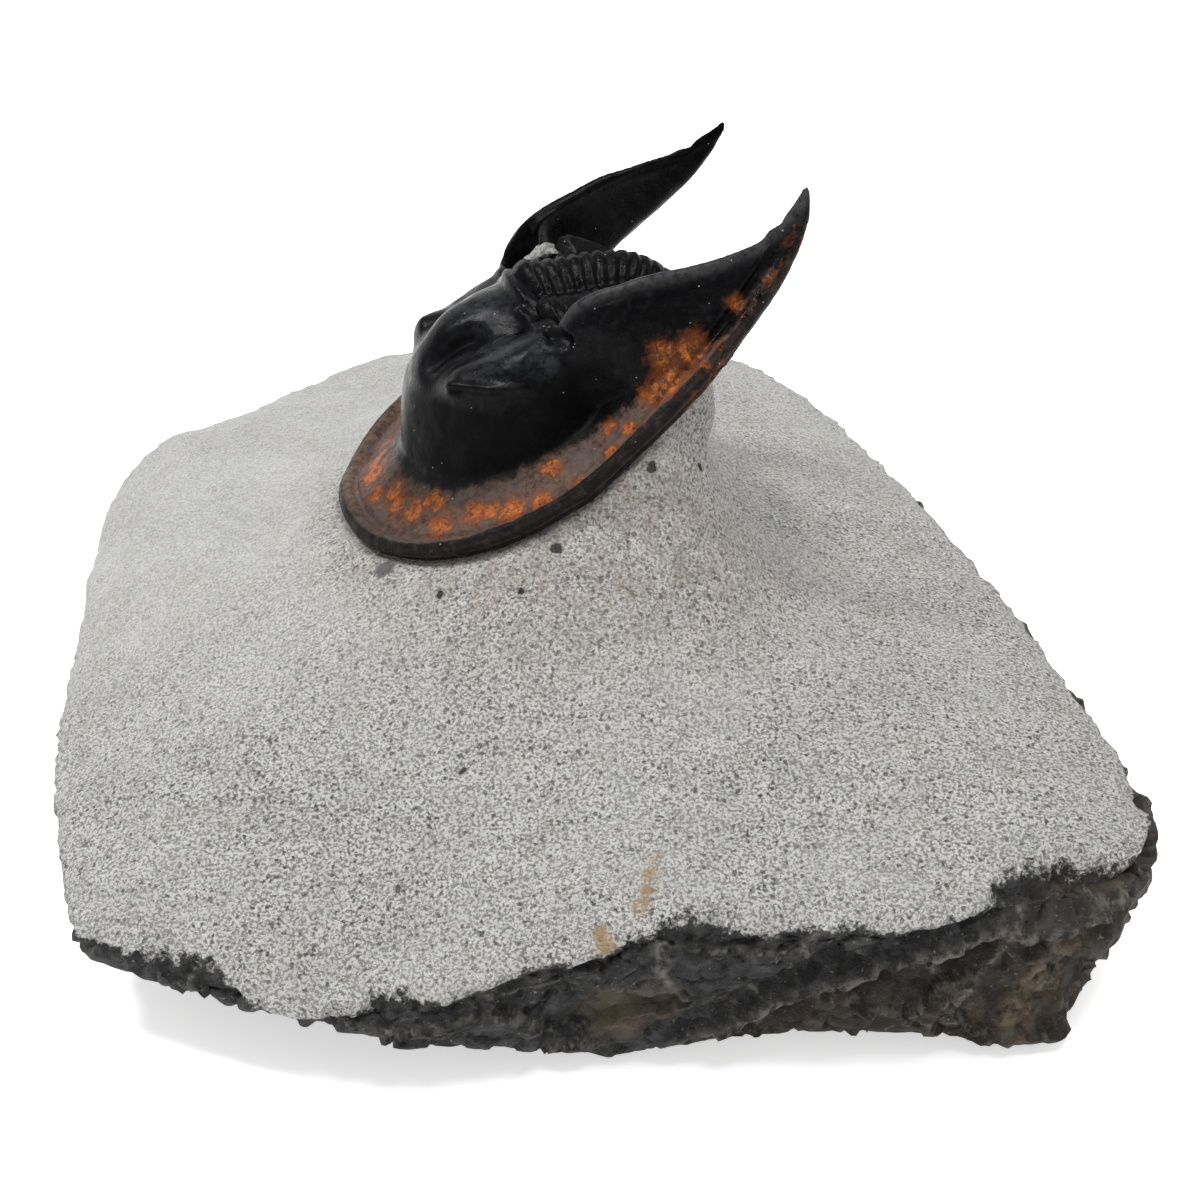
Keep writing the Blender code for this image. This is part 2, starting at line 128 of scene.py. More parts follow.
def facets_at(points: Array, size: float, seed: int) -> tuple[Array, Array]:
    """Return flat-faced lumps, as broken stone has.

    Args:
        points: Rows of x, y and z in millimetres.
        size: The size of a facet in millimetres.
        seed: Picks one of many such patterns.

    Returns:
        A height from -1 to 1 that tilts over each facet, and the distance to the facet's edge.
    """
    place = points / size
    base = np.floor(place).astype(np.int64)
    nearest = np.full(len(points), 9.0)
    second = np.full(len(points), 9.0)
    height = np.zeros(len(points))
    for step in product((-1, 0, 1), repeat=3):
        cell = base + np.array(step)
        jitter = np.stack([scramble(cell, seed + k) for k in range(3)], axis=1)
        away = place - (cell + jitter)
        reach = np.linalg.norm(away, axis=1)
        tilt = np.stack([scramble(cell, seed + 5 + k) - 0.5 for k in range(3)], axis=1)
        here = 1.6 * (scramble(cell, seed + 9) - 0.5) + np.sum(away * tilt, axis=1)
        closer = reach < nearest
        second = np.where(closer, nearest, np.minimum(second, reach))
        height = np.where(closer, here, height)
        nearest = np.where(closer, reach, nearest)
    return height, (second - nearest) * size


def to_point(points: Array, place: tuple) -> Array:
    """Return each point's distance to a place."""
    return np.linalg.norm(points - np.array(place), axis=1)


def to_line(points: Array, line: Array) -> Array:
    """Return each point's distance to a line given by closely spaced points."""
    found = []
    for start in range(0, len(points), 4000):
        block = points[start : start + 4000]
        found.append(np.sqrt(((block[:, None, :] - line[None, :, :]) ** 2).sum(axis=2).min(axis=1)))
    return np.concatenate(found)


def through(corners: tuple, spacing: float = 0.15) -> Array:
    """Return closely spaced points on the straight pieces between a few corners."""
    corners = np.array(corners, float)
    made = []
    for a, b in zip(corners, corners[1:]):
        count = max(2, int(np.linalg.norm(b - a) / spacing))
        made.append(a + (b - a) * np.linspace(0, 1, count, endpoint=False)[:, None])
    return np.concatenate(made + [corners[-1:]])


def bezier(points: tuple, t: Array) -> Array:
    """Return points at t on the cubic through the first and last of four points."""
    a, b, c, d = (np.array(point, float) for point in points)
    t = np.asarray(t, float)[:, None]
    return (1 - t) ** 3 * a + 3 * (1 - t) ** 2 * t * b + 3 * (1 - t) * t * t * c + t**3 * d


def spots_at(points: Array, spots: tuple, spread: float = 1.0) -> Array:
    """Return the strongest of several round spots at each point.

    Args:
        points: Rows of x, y and z in millimetres.
        spots: Each spot's x, y, z and size, and its strength where that isn't 1.
        spread: Widens every spot.

    Returns:
        Shares from 0 to 1.
    """
    found = np.zeros(len(points))
    for x, y, z, size, *strength in spots:
        spot = hill(to_point(points, (x, y, z)), spread * size)
        found = np.maximum(found, strength[0] * spot if strength else spot)
    return found


@dataclass(frozen=True)
class Ridge:
    """A rounded ridge beside a line, or a groove where its height is below zero."""

    height: float
    width: float
    beside: float = 0.0

    def rise(self, distance: Array) -> Array:
        """Return the rise at each distance from the line."""
        return self.height * hill(distance - self.beside, self.width)


# Node materials


@dataclass(frozen=True)
class Pattern:
    """A noise of so many lumps a millimetre, and the smooth step taken from it.

    The step goes from start where the noise is below low to end where it is above high.
    """

    scale: float
    detail: float
    roughness: float = 0.6
    low: float = 0.0
    high: float = 1.0
    start: float = 0.0
    end: float = 1.0
    shift: tuple = ()


@dataclass(frozen=True)
class Layer:
    """A tone that lies over another where an attribute of the mesh and a pattern say.

    The pattern breaks the attribute up or, where there is a spread, frays its edge that far.
    """

    what: str
    tone: Colour
    pattern: Pattern | None = None
    share: float = 1.0
    attribute: str = ""
    spread: float = 0.0


class Nodes:
    """Builds one node material, with coordinates in millimetres."""

    def __init__(self, name: str) -> None:
        """Make an empty material and its output shader."""
        self.material = bpy.data.materials.new(name)
        self.material.use_nodes = True
        self.tree = self.material.node_tree
        self.shader = self.tree.nodes["Principled BSDF"]
        coordinates = self.tree.nodes.new("ShaderNodeTexCoord")
        self.place = self.scaled(coordinates.outputs["Object"], 1 / MM)

    def add(self, kind: str, inputs: dict, **settings: object) -> bpy.types.Node:
        """Add a node, set its properties and put values into its inputs."""
        node = self.tree.nodes.new(kind)
        for key, value in settings.items():
            setattr(node, key, value)
        for key, value in inputs.items():
            self.put(node.inputs[key], value)
        return node

    def put(self, socket: bpy.types.NodeSocket, value: object) -> None:
        """Link an output to a socket, or set the socket's own value."""
        if isinstance(value, bpy.types.NodeSocket):
            self.tree.links.new(value, socket)
        elif isinstance(value, tuple) and len(value) == 3 and socket.type == "RGBA":
            socket.default_value = (*value, 1.0)
        else:
            socket.default_value = value

    def finish(self, **inputs: object) -> bpy.types.Material:
        """Put values into the shader's inputs, named with _ for a space, and return the material."""
        for key, value in inputs.items():
            self.put(self.shader.inputs[key.replace("_", " ")], value)
        return self.material

    def scaled(self, vector: object, scale: float) -> object:
        """Return a vector times a number."""
        return self.add("ShaderNodeVectorMath", {0: vector, "Scale": scale}, operation="SCALE").outputs[0]

    def moved(self, vector: object, by: object) -> object:
        """Return the sum of two vectors."""
        return self.add("ShaderNodeVectorMath", {0: vector, 1: by}, operation="ADD").outputs[0]

    def math(self, operation: str, first: object, *others: object) -> object:
        """Return the output of an operation that takes in the numbers one by one."""
        for other in others:
            first = self.add("ShaderNodeMath", {0: first, 1: other}, operation=operation).outputs[0]
        return first

    def times(self, first: object, *others: object) -> object:
        """Return the product of numbers."""
        return self.math("MULTIPLY", first, *others)

    def plus(self, first: object, *others: object) -> object:
        """Return the sum of numbers."""
        return self.math("ADD", first, *others)

    def minus(self, first: object, *others: object) -> object:
        """Return the first number less the others."""
        return self.math("SUBTRACT", first, *others)

    def attribute(self, name: str) -> object:
        """Return the number that the mesh holds under a name."""
        return self.add("ShaderNodeAttribute", {}, attribute_name=name).outputs["Fac"]

    def noise(self, pattern: Pattern, place: object = None) -> object:
        """Return a pattern's noise from 0 to 1, at its own place or at the one given."""
        if place is None:
            place = self.moved(self.place, pattern.shift) if pattern.shift else self.place
        inputs = {"Scale": pattern.scale, "Detail": pattern.detail, "Roughness": pattern.roughness}
        return self.add("ShaderNodeTexNoise", {"Vector": place, **inputs}).outputs["Fac"]

    def pushed(self, place: object, scale: float, push: float) -> object:
        """Return coordinates that noise pushes about, for ragged shapes."""
        noise = self.add("ShaderNodeTexNoise", {"Vector": place, "Scale": scale, "Detail": 2.0})
        return self.moved(place, self.scaled(noise.outputs["Color"], push))

    def cells(self, scale: float, place: object) -> tuple[object, object]:
        """Return each cell's random number, and the distance to its middle."""
        cells = self.add("ShaderNodeTexVoronoi", {"Vector": place, "Scale": scale})
        parts = self.add("ShaderNodeSeparateColor", {0: cells.outputs["Color"]})
        return parts.outputs[0], cells.outputs["Distance"]

    def ramp(self, value: object, low: float, high: float, start: float = 0.0, end: float = 1.0) -> object:
        """Return start below low and end above high, with a smooth step between."""
        inputs = {"Value": value, "From Min": low, "From Max": high, "To Min": start, "To Max": end}
        return self.add("ShaderNodeMapRange", inputs, interpolation_type="SMOOTHSTEP").outputs["Result"]

    def patches(self, pattern: Pattern, value: object = None) -> object:
        """Return a pattern's step of its own noise or of another number."""
        value = self.noise(pattern) if value is None else value
        return self.ramp(value, pattern.low, pattern.high, pattern.start, pattern.end)

    def ragged(self, name: str, pattern: Pattern, spread: float, place: object = None) -> object:
        """Return the step of an attribute that the pattern's noise frays as far as the spread."""
        frayed = self.times(self.minus(self.noise(pattern, place), 0.5), spread)
        return self.patches(pattern, self.plus(self.attribute(name), frayed))

    def mix(self, share: object, a: object, b: object, label: str = "") -> object:
        """Return colour a turned into colour b by a share."""
        return self.add("ShaderNodeMix", {0: share, 6: a, 7: b}, data_type="RGBA", label=label).outputs[2]

    def lay(self, colour: object, *layers: Layer) -> object:
        """Return a colour with layers over it in turn."""
        for layer in layers:
            if layer.spread:
                where = [self.ragged(layer.attribute, layer.pattern, layer.spread)]
            else:
                where = [self.attribute(layer.attribute)] if layer.attribute else []
                where += [self.patches(layer.pattern)] if layer.pattern else []
            colour = self.mix(self.times(*where, layer.share), colour, layer.tone, layer.what)
        return colour

    def bump(self, height: object, depth: float) -> object:
        """Return a normal for relief of the given depth in millimetres."""
        inputs = {"Strength": 1.0, "Distance": depth * MM, "Height": height}
        return self.add("ShaderNodeBump", inputs).outputs["Normal"]


@dataclass(frozen=True)
class Shell:
    """The finish of the fossil's black shell."""

    skin: Skin
    black: Colour = (0.0008, 0.0009, 0.0012)
    umber: Colour = (0.030, 0.022, 0.019)
    rust: Colour = (0.17, 0.045, 0.012)
    rim_black: Colour = (0.006, 0.005, 0.005)
    dust: Colour = (0.45, 0.45, 0.43)
    gloss: Pattern = Pattern(0.8, 4, 0.6, 0.30, 0.75, 0.20, 0.40)
    skin_relief: Pattern = Pattern(3.4, 4, 0.65)
    brim_pits: Pattern = Pattern(2.3, 4)
    brim_edge: Pattern = Pattern(0.9, 6, 0.70, 0.30, 0.80)
    rust_veil: Pattern = Pattern(1, 7, 0.75, 0.25, 0.85)
    rust_core: Pattern = Pattern(1.1, 6, 0.72, 0.66, 0.82)
    rim_edge: Pattern = Pattern(1.1, 4, 0.6, 1.12, 0.92)
    wear: Layer = Layer("wear", (0.013, 0.0135, 0.016), Pattern(1.4, 5, 0.65, 0.45, 0.78), 0.5)
    brim_tones: tuple = (
        Layer("brown", (0.115, 0.066, 0.045), Pattern(1.6, 6, 0.75, 0.36, 0.62)),
        Layer("ash", (0.074, 0.062, 0.060), Pattern(0.42, 5, 0.65, 0.44, 0.60, 0, 0.6, (7, 1, 4))),
    )
    rust_tones: tuple = (
        Layer("orange", (0.42, 0.125, 0.030), Pattern(1.4, 7, 0.78, 0.38, 0.64)),
        Layer("old rust", (0.060, 0.022, 0.008), Pattern(1.2, 6, 0.75, 0.62, 0.42), 1, "old"),
        Layer("gaps", umber, Pattern(2.2, 5, 0.7, 0.53, 0.62, 0, 0.85)),
    )
    rim_tone: Layer = Layer("umber", umber, Pattern(0.9, 6, 0.75, 0.50, 0.66))
    over_all: tuple = (
        Layer("rim line", (0.060, 0.040, 0.030), Pattern(0.8, 5, 0.7, 0.36, 0.56), 1, "rim_line"),
        Layer("streaks", rust, Pattern(0.7, 5, 0.7, 0.54, 0.64, shift=(5, 9, 2)), 0.9, "edge_rust"),
        Layer("worn margin", (0.040, 0.040, 0.042), Pattern(1.5, 4, 0.6, 0.30, 0.60, 0.3, 0.9), 1, "margin"),
        # painted highlight: bluish grey lifted into the black where the dome's top catches the light
        Layer("painted sheen", (0.030, 0.032, 0.039), Pattern(1.3, 6, 0.75, 0.40, 0.60, 0.12, 1), 0.8, "gloss_and_painted_highlight"),
        # painted shade: near-black laid under the eye ledge and along the middle furrow, where shade falls
        Layer("painted shade under ledge", (0.0006, 0.0006, 0.0008), None, 0.7, "painted_shade"),
    )

    def make(self, name: str) -> bpy.types.Material:
        """Return the material."""
        n = Nodes(name)
        colour = n.lay(self.black, self.wear)
        rough = n.patches(self.gloss)
        height = n.times(n.noise(self.skin_relief), 0.35)
        if self.skin is Skin.SHIELD:
            brown = n.ragged("brown", self.brim_edge, 1.6)
            colour = n.mix(brown, colour, n.lay(self.umber, *self.brim_tones))
            colour = self.rusted(n, colour)
            rim = n.plus(n.attribute("rim_mm"), n.times(n.noise(self.rim_edge), 0.35))
            colour = n.mix(n.patches(self.rim_edge, rim), colour, n.lay(self.rim_black, self.rim_tone))
            colour = n.lay(colour, *self.over_all)
            # the painted-shade mask also roughens those parts, so they catch few highlights
            rough = n.plus(rough, n.times(brown, 0.10), n.times(n.attribute("painted_shade"), 0.35))
            # the same spots are made glossier, a real change of roughness
            rough = n.minus(rough, n.times(n.attribute("gloss_and_painted_highlight"), 0.10))
            height = n.plus(height, n.times(n.noise(self.brim_pits), n.times(brown, 1.6)))
        chance, reach = n.cells(1.3, n.place)
        specks = n.times(n.ramp(chance, 0.72, 0.73), n.ramp(reach, 0.095, 0.06), 0.45)
        return n.finish(
            Base_Color=n.mix(specks, colour, self.dust),
            Roughness=rough,
            Specular_IOR_Level=0.065,
            Normal=n.bump(height, 0.10),
        )

    def rusted(self, n: Nodes, colour: object) -> object:
        """Return the colour with rust over it: a thin veil, and a core of mixed tones."""
        place = n.pushed(n.place, 0.8, 1.6)
        veil = n.times(n.ragged("rust", self.rust_veil, 1.9, place), 0.55)
        core = n.times(n.ragged("rust", self.rust_core, 1.5, place), 0.9)
        return n.mix(core, n.mix(veil, colour, self.rust), n.lay(self.rust, *self.rust_tones))


@dataclass(frozen=True)
class Flecks:
    """Small ragged flecks, one at most in each cell of a pattern."""

    scale: float
    size: float
    shift: tuple

    def draw(self, n: Nodes, rarity: object) -> object:
        """Return 1 on a fleck and 0 elsewhere, with no fleck in the given share of the cells."""
        place = n.pushed(n.moved(n.place, self.shift), 2.4 * self.scale, 0.9 / self.scale)
        chance, reach = n.cells(self.scale, place)
        inside = n.ramp(reach, 1.25 * self.size, 0.85 * self.size)
        return n.times(n.math("GREATER_THAN", chance, rarity), inside)


@dataclass(frozen=True)
class Limestone:
    """The finish of the block: sandblasted grey on top, dark where it is broken, brown where weathered."""

    light: Colour = (0.60, 0.596, 0.574)
    middle: Colour = (0.180, 0.178, 0.172)
    dark_grain: Colour = (0.035, 0.035, 0.035)
    white_grain: Colour = (0.74, 0.74, 0.72)
    even_dark: Colour = (0.305, 0.305, 0.297)
    charcoal: Colour = (0.014, 0.014, 0.014)
    weathered: Colour = (0.030, 0.024, 0.020)
    rind: Colour = (0.11, 0.082, 0.056)
    grain: Pattern = Pattern(4.4, 4, 0.72, 0.435, 0.555)
    crowds: Pattern = Pattern(0.16, 4, 0.6, 0.46, 0.62, 0, 0.22)
    blasted_edge: Pattern = Pattern(0.9, 7, 0.78, -0.15, 0.15)
    rocky: Pattern = Pattern(0.8, 8, 0.75)
    white_flecks: Flecks = Flecks(2.3, 0.23, (11.0, 2.0, 19.0))
    dark_flecks: Flecks = Flecks(2.0, 0.27, (31.0, 7.0, 3.0))
    even: Layer = Layer("even", (0.37, 0.37, 0.36), Pattern(0.8, 4, 0.6, 0.3, 0.7))
    on_blasted: tuple = (
        Layer("mottle", (0.30, 0.298, 0.29), Pattern(0.34, 5, 0.65, 0.32, 0.68, 0, 0.30)),
        Layer("clouds", (0.60, 0.60, 0.58), Pattern(0.09, 4, 0.6, 0.38, 0.66), 0.16),
        Layer("warmth", (0.36, 0.295, 0.245), Pattern(0.7, 6, 0.7, 0.34, 0.60), 0.42, "pedestal"),
        Layer("stains", (0.14, 0.125, 0.11), Pattern(0.9, 7, 0.8, 0.52, 0.66, 0, 0.6), 1, "pedestal"),
        Layer("ochre", (0.33, 0.215, 0.11), Pattern(1, 6, 0.7, 0.36, 0.5), 0.92, "ochre"),
        # painted shade: near-black laid into the shallow holes, standing in for their shade
        Layer("holes", (0.02, 0.018, 0.016), Pattern(2.2, 4, 0.7, 0.48, 0.70), 0.9, "hole", 1.8),
    )
    slate: Layer = Layer("slate", (0.078, 0.075, 0.073), Pattern(0.8, 7, 0.75, 0.42, 0.70))
    rind_tone: Layer = Layer("rind", rind, Pattern(0.35, 8, 0.75, 0.46, 0.66))
    on_broken: tuple = (
        Layer("veins", middle, Pattern(0.55, 9, 0.85, 0.60, 0.66), 0.6),
        Layer("chips", (0.28, 0.265, 0.245), Pattern(2.1, 4, 0.7, 0.63, 0.69, shift=(3, 17, 8)), 0.8),
        Layer("tan", (0.20, 0.150, 0.100), Pattern(0.9, 6, 0.7, 0.36, 0.58), 1, "tan"),
        # edge wear, and a painted highlight along the crest of the slanting ridge
        Layer("worn and lit edges", (0.22, 0.205, 0.18), Pattern(1.2, 5, 0.6, 0.40, 0.62), 1, "worn_and_lit_edge"),
        Layer("ochre", rind, None, 0.8, "ochre"),
    )
    over_all: tuple = (
        Layer("grey lump", (0.085, 0.085, 0.083), None, 0.85, "clast"),
        # painted shade: darker stone laid on the matrix behind the head, between the far blade and the rings
        Layer("painted_shade_behind_head", (0.035, 0.035, 0.037), None, 0.85, "painted_shade_behind_head"),
    )

    def make(self, name: str) -> bpy.types.Material:
        """Return the material."""
        n = Nodes(name)
        strength = n.attribute("grain")
        fine = n.noise(self.grain)
        white = self.white_flecks.draw(n, 0.55)
        crowd = n.minus(0.68, n.times(n.attribute("pedestal"), 0.30), n.patches(self.crowds))
        dark = n.times(self.dark_flecks.draw(n, crowd), n.plus(0.35, n.times(strength, 0.65)))
        colour = n.mix(n.patches(self.grain, fine), self.middle, self.light)
        colour = n.mix(n.times(white, 0.75), colour, self.white_grain)
        colour = n.mix(n.times(dark, 0.85), colour, self.dark_grain)
        colour = n.mix(n.plus(0.30, n.times(strength, 0.70)), n.lay(self.even_dark, self.even), colour)
        blasted = n.ragged("top_mm", self.blasted_edge, 3.6)
        aged = n.lay(self.weathered, self.rind_tone)
        broken = n.mix(n.attribute("rind"), n.lay(self.charcoal, self.slate), aged)
        colour = n.mix(blasted, n.lay(broken, *self.on_broken), n.lay(colour, *self.on_blasted))
        grain = n.plus(fine, n.plus(n.times(dark, -0.6), n.times(white, 0.3)))
        grain = n.times(grain, n.plus(0.45, n.times(strength, 0.55)))
        rocky = n.times(n.noise(self.rocky), n.minus(2.6, n.times(blasted, 2.6)))
        return n.finish(
            Base_Color=n.lay(colour, *self.over_all),
            Roughness=n.ramp(blasted, 0.0, 1.0, 0.6, 0.95),
            Specular_IOR_Level=0.3,
            Normal=n.bump(n.plus(grain, rocky), 0.40),
        )


# The pieces


def modify(made: Object, kind: str, **settings: object) -> None:
    """Give an object a modifier with the given settings, and apply it."""
    modifier = made.modifiers.new(kind.lower(), kind)
    for key, value in settings.items():
        setattr(modifier, key, value)
    bpy.context.view_layer.objects.active = made
    bpy.ops.object.modifier_apply(modifier=modifier.name)


@contextmanager
def editing() -> Iterator[None]:
    """Work on the active mesh in edit mode."""
    bpy.ops.object.mode_set(mode="EDIT")
    yield
    bpy.ops.object.mode_set(mode="OBJECT")


@dataclass
class FossilPlace:
    """Where the fossil stands on the block, and its own frame: X to its left, Y backwards, Z up."""

    origin: tuple = (-2.6, -1.7, 29.8)
    pitch: float = 29.5
    roll: float = -0.8
    heading: float = -74.6

    def matrix(self) -> Array:
        """Return the turn and shift from the fossil's frame to the world's."""
        turn = Euler([math.radians(a) for a in (self.pitch, self.roll, self.heading)], "YXZ")
        return np.array(Matrix.Translation(self.origin) @ turn.to_matrix().to_4x4())

    def inward(self, points: Array) -> Array:
        """Turn world points into the fossil's frame."""
        whole = np.linalg.inv(self.matrix())
        return points @ whole[:3, :3].T + whole[:3, 3]

    def turned(self, moves: Array) -> Array:
        """Turn moves in the fossil's frame into moves in the world."""
        return moves @ self.matrix()[:3, :3].T


@dataclass
class Piece:
    """A visible piece that starts from the solid of the same name."""

    node: str
    name: str
    subdivisions: int
    voxel: float
    smoothing: int = 2
    growth: float = 0.0
    crease: float = 0.0
    crease_angle: float = 50.0
    weld: float = 0.01
    place: FossilPlace = field(default_factory=FossilPlace)

    def start(self) -> Object:
        """Copy the solid, merge it and make it one fine even mesh."""
        made = self.copied()
        with editing():
            bpy.ops.mesh.select_all(action="SELECT")
            bpy.ops.mesh.remove_doubles(threshold=self.weld * MM)
            turn, skew = math.radians(50), math.radians(60)
            bpy.ops.mesh.tris_convert_to_quads(face_threshold=turn, shape_threshold=skew)
            bpy.ops.mesh.normals_make_consistent(inside=False)
            if self.crease:
                bpy.ops.mesh.select_all(action="DESELECT")
                bpy.ops.mesh.select_mode(type="EDGE")
                bpy.ops.mesh.edges_select_sharp(sharpness=math.radians(self.crease_angle))
                bpy.ops.transform.edge_crease(value=self.crease)
                bpy.ops.mesh.select_mode(type="VERT")
        if made.data.has_custom_normals:
            bpy.ops.mesh.customdata_custom_splitnormals_clear()
        modify(made, "SUBSURF", levels=self.subdivisions, render_levels=self.subdivisions)
        if self.growth:
            modify(made, "DISPLACE", mid_level=0.0, strength=self.growth * MM)
        modify(made, "REMESH", mode="VOXEL", voxel_size=self.voxel * MM)
        modify(made, "SMOOTH", factor=0.5, iterations=self.smoothing)
        return made

    def copied(self) -> Object:
        """Return a copy of the solid under the piece's name, as the one selected object."""
        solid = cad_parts[self.node]
        made = solid.copy()
        made.data = solid.data.copy()
        made.name = made.data.name = self.name
        for key in list(made.keys()):
            del made[key]
        made.parent = None
        bpy.context.scene.collection.objects.link(made)
        bpy.ops.object.select_all(action="DESELECT")
        made.select_set(True)
        bpy.context.view_layer.objects.active = made
        return made

    def read(self, made: Object) -> tuple[Array, Array]:
        """Return a mesh's points in millimetres and its outward directions."""
        points = np.empty(len(made.data.vertices) * 3)
        made.data.vertices.foreach_get("co", points)
        away = np.empty(len(made.data.vertices) * 3, np.float32)
        made.data.vertex_normals.foreach_get("vector", away)
        return points.reshape(-1, 3) / MM, away.reshape(-1, 3).astype(float)

    def write(self, made: Object, points: Array) -> None:
        """Move a mesh's points to the given places in millimetres."""
        made.data.vertices.foreach_set("co", (points * MM).ravel())
        made.data.update()

    def keep(self, made: Object, **marks: Array) -> None:
        """Keep numbers for each point under their names, for the material."""
        for name, values in marks.items():
            layer = made.data.attributes.new(name, "FLOAT", "POINT")
            layer.data.foreach_set("value", values.astype(np.float32))

    def dress(self, made: Object, material: bpy.types.Material) -> Object:
        """Give a piece its finish and its place in the table."""
        made.data.materials.clear()
        made.data.materials.append(material)
        made.data.shade_smooth()
        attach(made, "root")
        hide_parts(self.node)
        made.data.calc_loop_triangles()
        LOG.info("%s: %d triangles", made.name, len(made.data.loop_triangles))
        return made


@dataclass
class HeadShield(Piece):
    """The horseshoe head shield: its dome, brim, rim and two blades.

    The tuples of places are x, y and z in the fossil's frame. The near side is its left.
    """

    node: str = "cephalon"
    name: str = "head_shield"
    subdivisions: int = 2
    voxel: float = 0.17
    growth: float = 0.12
    crease: float = 0.5
    half_width: float = 16.9
    front: float = 17.0
    rear: float = 26.2
    front_lift: float = 1.0
    outline_power: float = 0.9
    rim_rise: float = 0.85
    right_shorter: float = 1.0
    right_dip: float = 1.2
    tip_smoothing: int = 30
    outer_edge: tuple = ((16.9, 0, 0), (16.9, 4.5, 0.7), (12.1, 24.9, 1.6), (8.7, 26.2, 8))
    inner_edge: tuple = ((7.7, 5.1, 9.4), (10.1, 11.5, 12.3), (13.1, 18.1, 4.9), (8.7, 26.2, 8))
    rim_ridges: tuple = (Ridge(0.10, 0.4, 0.75), Ridge(-0.24, 0.26, 1.65), Ridge(0.10, 0.3, 2.2))
    rim_groove: Ridge = Ridge(-0.20, 0.16, 0.62)
    rim_tone: Ridge = Ridge(0.8, 0.17, 0.42)
    inner_ridges: tuple = (Ridge(0.10, 0.4), Ridge(-0.10, 0.3, 0.95))
    stepped_corner: tuple = (10.7, 21.2, 7.4)
    corner_drop: float = -0.25
    far_eye_shift: tuple = (-0.85, 0.0, -0.45)
    far_shift: tuple = (-1.1, 0.0, 0.15)
    brown_reach: tuple = (
        (-17, 6.3), (0, 5.6), (4, 4.9), (8, 2.9), (12, 1.5), (16, 0.6), (20, 0.3), (26, 0),
    )
    eye_ledge: tuple = ((6.5, -4, 9), (7.5, -3.1, 8.8), (8.7, -1.8, 8.2), (9.5, -0.4, 7.6), (10, 1.4, 7.1))
    ledge_ridge: Ridge = Ridge(0.38, 0.42)
    ledge_undercut: float = 0.42
    eye_corner: tuple = (6.7, -3.8, 9.0)
    eye_corner_ridge: Ridge = Ridge(0.28, 0.7)
    cheek_swell: tuple = ((7.2, 0.6, 8.6, Ridge(0.45, 2.3)), (9.2, 4, 7.6, Ridge(0.25, 1.8)))
    side_furrow: Ridge = Ridge(0.40, 0.75)
    middle_furrow: tuple = ((2.2, -5.4, 9), (2.4, -3.6, 9.6), (2.7, -2, 9.8), (3, -0.8, 9.7), (3.4, 0.4, 9.5))
    middle_groove: Ridge = Ridge(-1.0, 0.78)
    rear_lines: tuple = (
        (Ridge(0.30, 0.32), ((3.5, 3.4, 9.6), (4.8, 3.7, 8.9), (6.4, 3.7, 8.8), (8.1, 3.9, 8.9))),
        (Ridge(-0.85, 0.5), ((7.6, 4.3, 8.9), (8.4, 4.6, 8.6), (9, 5, 8.1))),
    )
    # spots of lower roughness on the dome, which also carry a painted highlight of lighter bluish grey
    gloss_and_highlight_spots: tuple = (
        (1.4, 1, 11, 2.3, 0.9), (6.8, 0.4, 9, 2.1, 1), (9.4, 3.2, 8, 1.4, 0.9), (-1, -6, 9.5, 2.5, 0.5),
    )
    rust_spread: float = 1.15
    rust: tuple = (
        (3.1, -12.5, 2.3, 1.3), (4.6, -12.6, 2.2, 1.2), (6.9, -11.7, 2.1, 1.4), (7.4, -10.2, 2.4, 1.2),
        (8.4, -9.7, 2.3, 0.8), (10.4, -10.4, 1.6, 1.6), (1.3, -13.9, 2, 1.2), (-1.9, -13.4, 2.2, 1.6),
        (-4.5, -13, 2, 1.6), (-7.5, -11.9, 2, 1.4), (11.7, -7.6, 1.6, 1.3), (12.4, -6.4, 1.4, 1),
        (13.7, -5.1, 1.2, 1.4), (14.6, -2.8, 1, 1.2), (12.4, -1, 1.7, 1), (15.2, 0.4, 1.2, 0.7),
        (16, 1.5, 1.5, 0.9), (12.3, 4.3, 1.8, 0.8), (13.8, 5.4, 1.7, 0.9), (12.3, 10.6, 4.4, 1.4),
        (12.4, 12.4, 3.7, 1.6), (13.4, 9.7, 2.7, 1.8), (13.2, 8.4, 2.6, 1.3), (15.2, 9.9, 2.1, 1.2),
        (14.5, 11.9, 2.7, 1.3), (11.9, 17.1, 4.6, 0.8), (13.4, 16.6, 3.2, 0.6), (13.9, 14.5, 3, 0.9),
        (14.5, 12.8, 2.4, 0.9), (10.6, 23, 5.2, 0.9), (11.9, 20.4, 4.3, 0.9), (11.3, 21.6, 4.4, 0.8),
        (15, 7, 1.6, 0.9), (14.6, 3.4, 1.6, 0.8), (-10.4, -9.6, 1.4, 1.3), (-12.6, -6, 1, 1.1),
        (-14.2, -1, 0.6, 1.2),
    )

    def rim_line(self) -> Array:
        """Return closely spaced points on the rim's crest, from the right tip round to the left tip."""
        turn = np.linspace(0, 0.5 * math.pi, 120)
        x = self.half_width * np.sin(turn) ** self.outline_power
        y = -self.front * np.cos(turn) ** self.outline_power
        curve = np.stack((x, y, self.front_lift * (y / self.front) ** 2), axis=1)
        left = np.concatenate((curve, bezier(self.outer_edge, np.linspace(0, 1, 160))))
        left[:, 2] += self.rim_rise
        right = left * np.array((-1, 1, 1))
        right[:, 1] -= self.right_shorter * np.clip(right[:, 1] / self.rear, 0, 1) ** 1.5
        right[:, 2] -= self.right_dip * smooth(-right[:, 0], 1, 9) * (1 - smooth(right[:, 1], 4, 16))
        return np.concatenate((right[::-1], left))

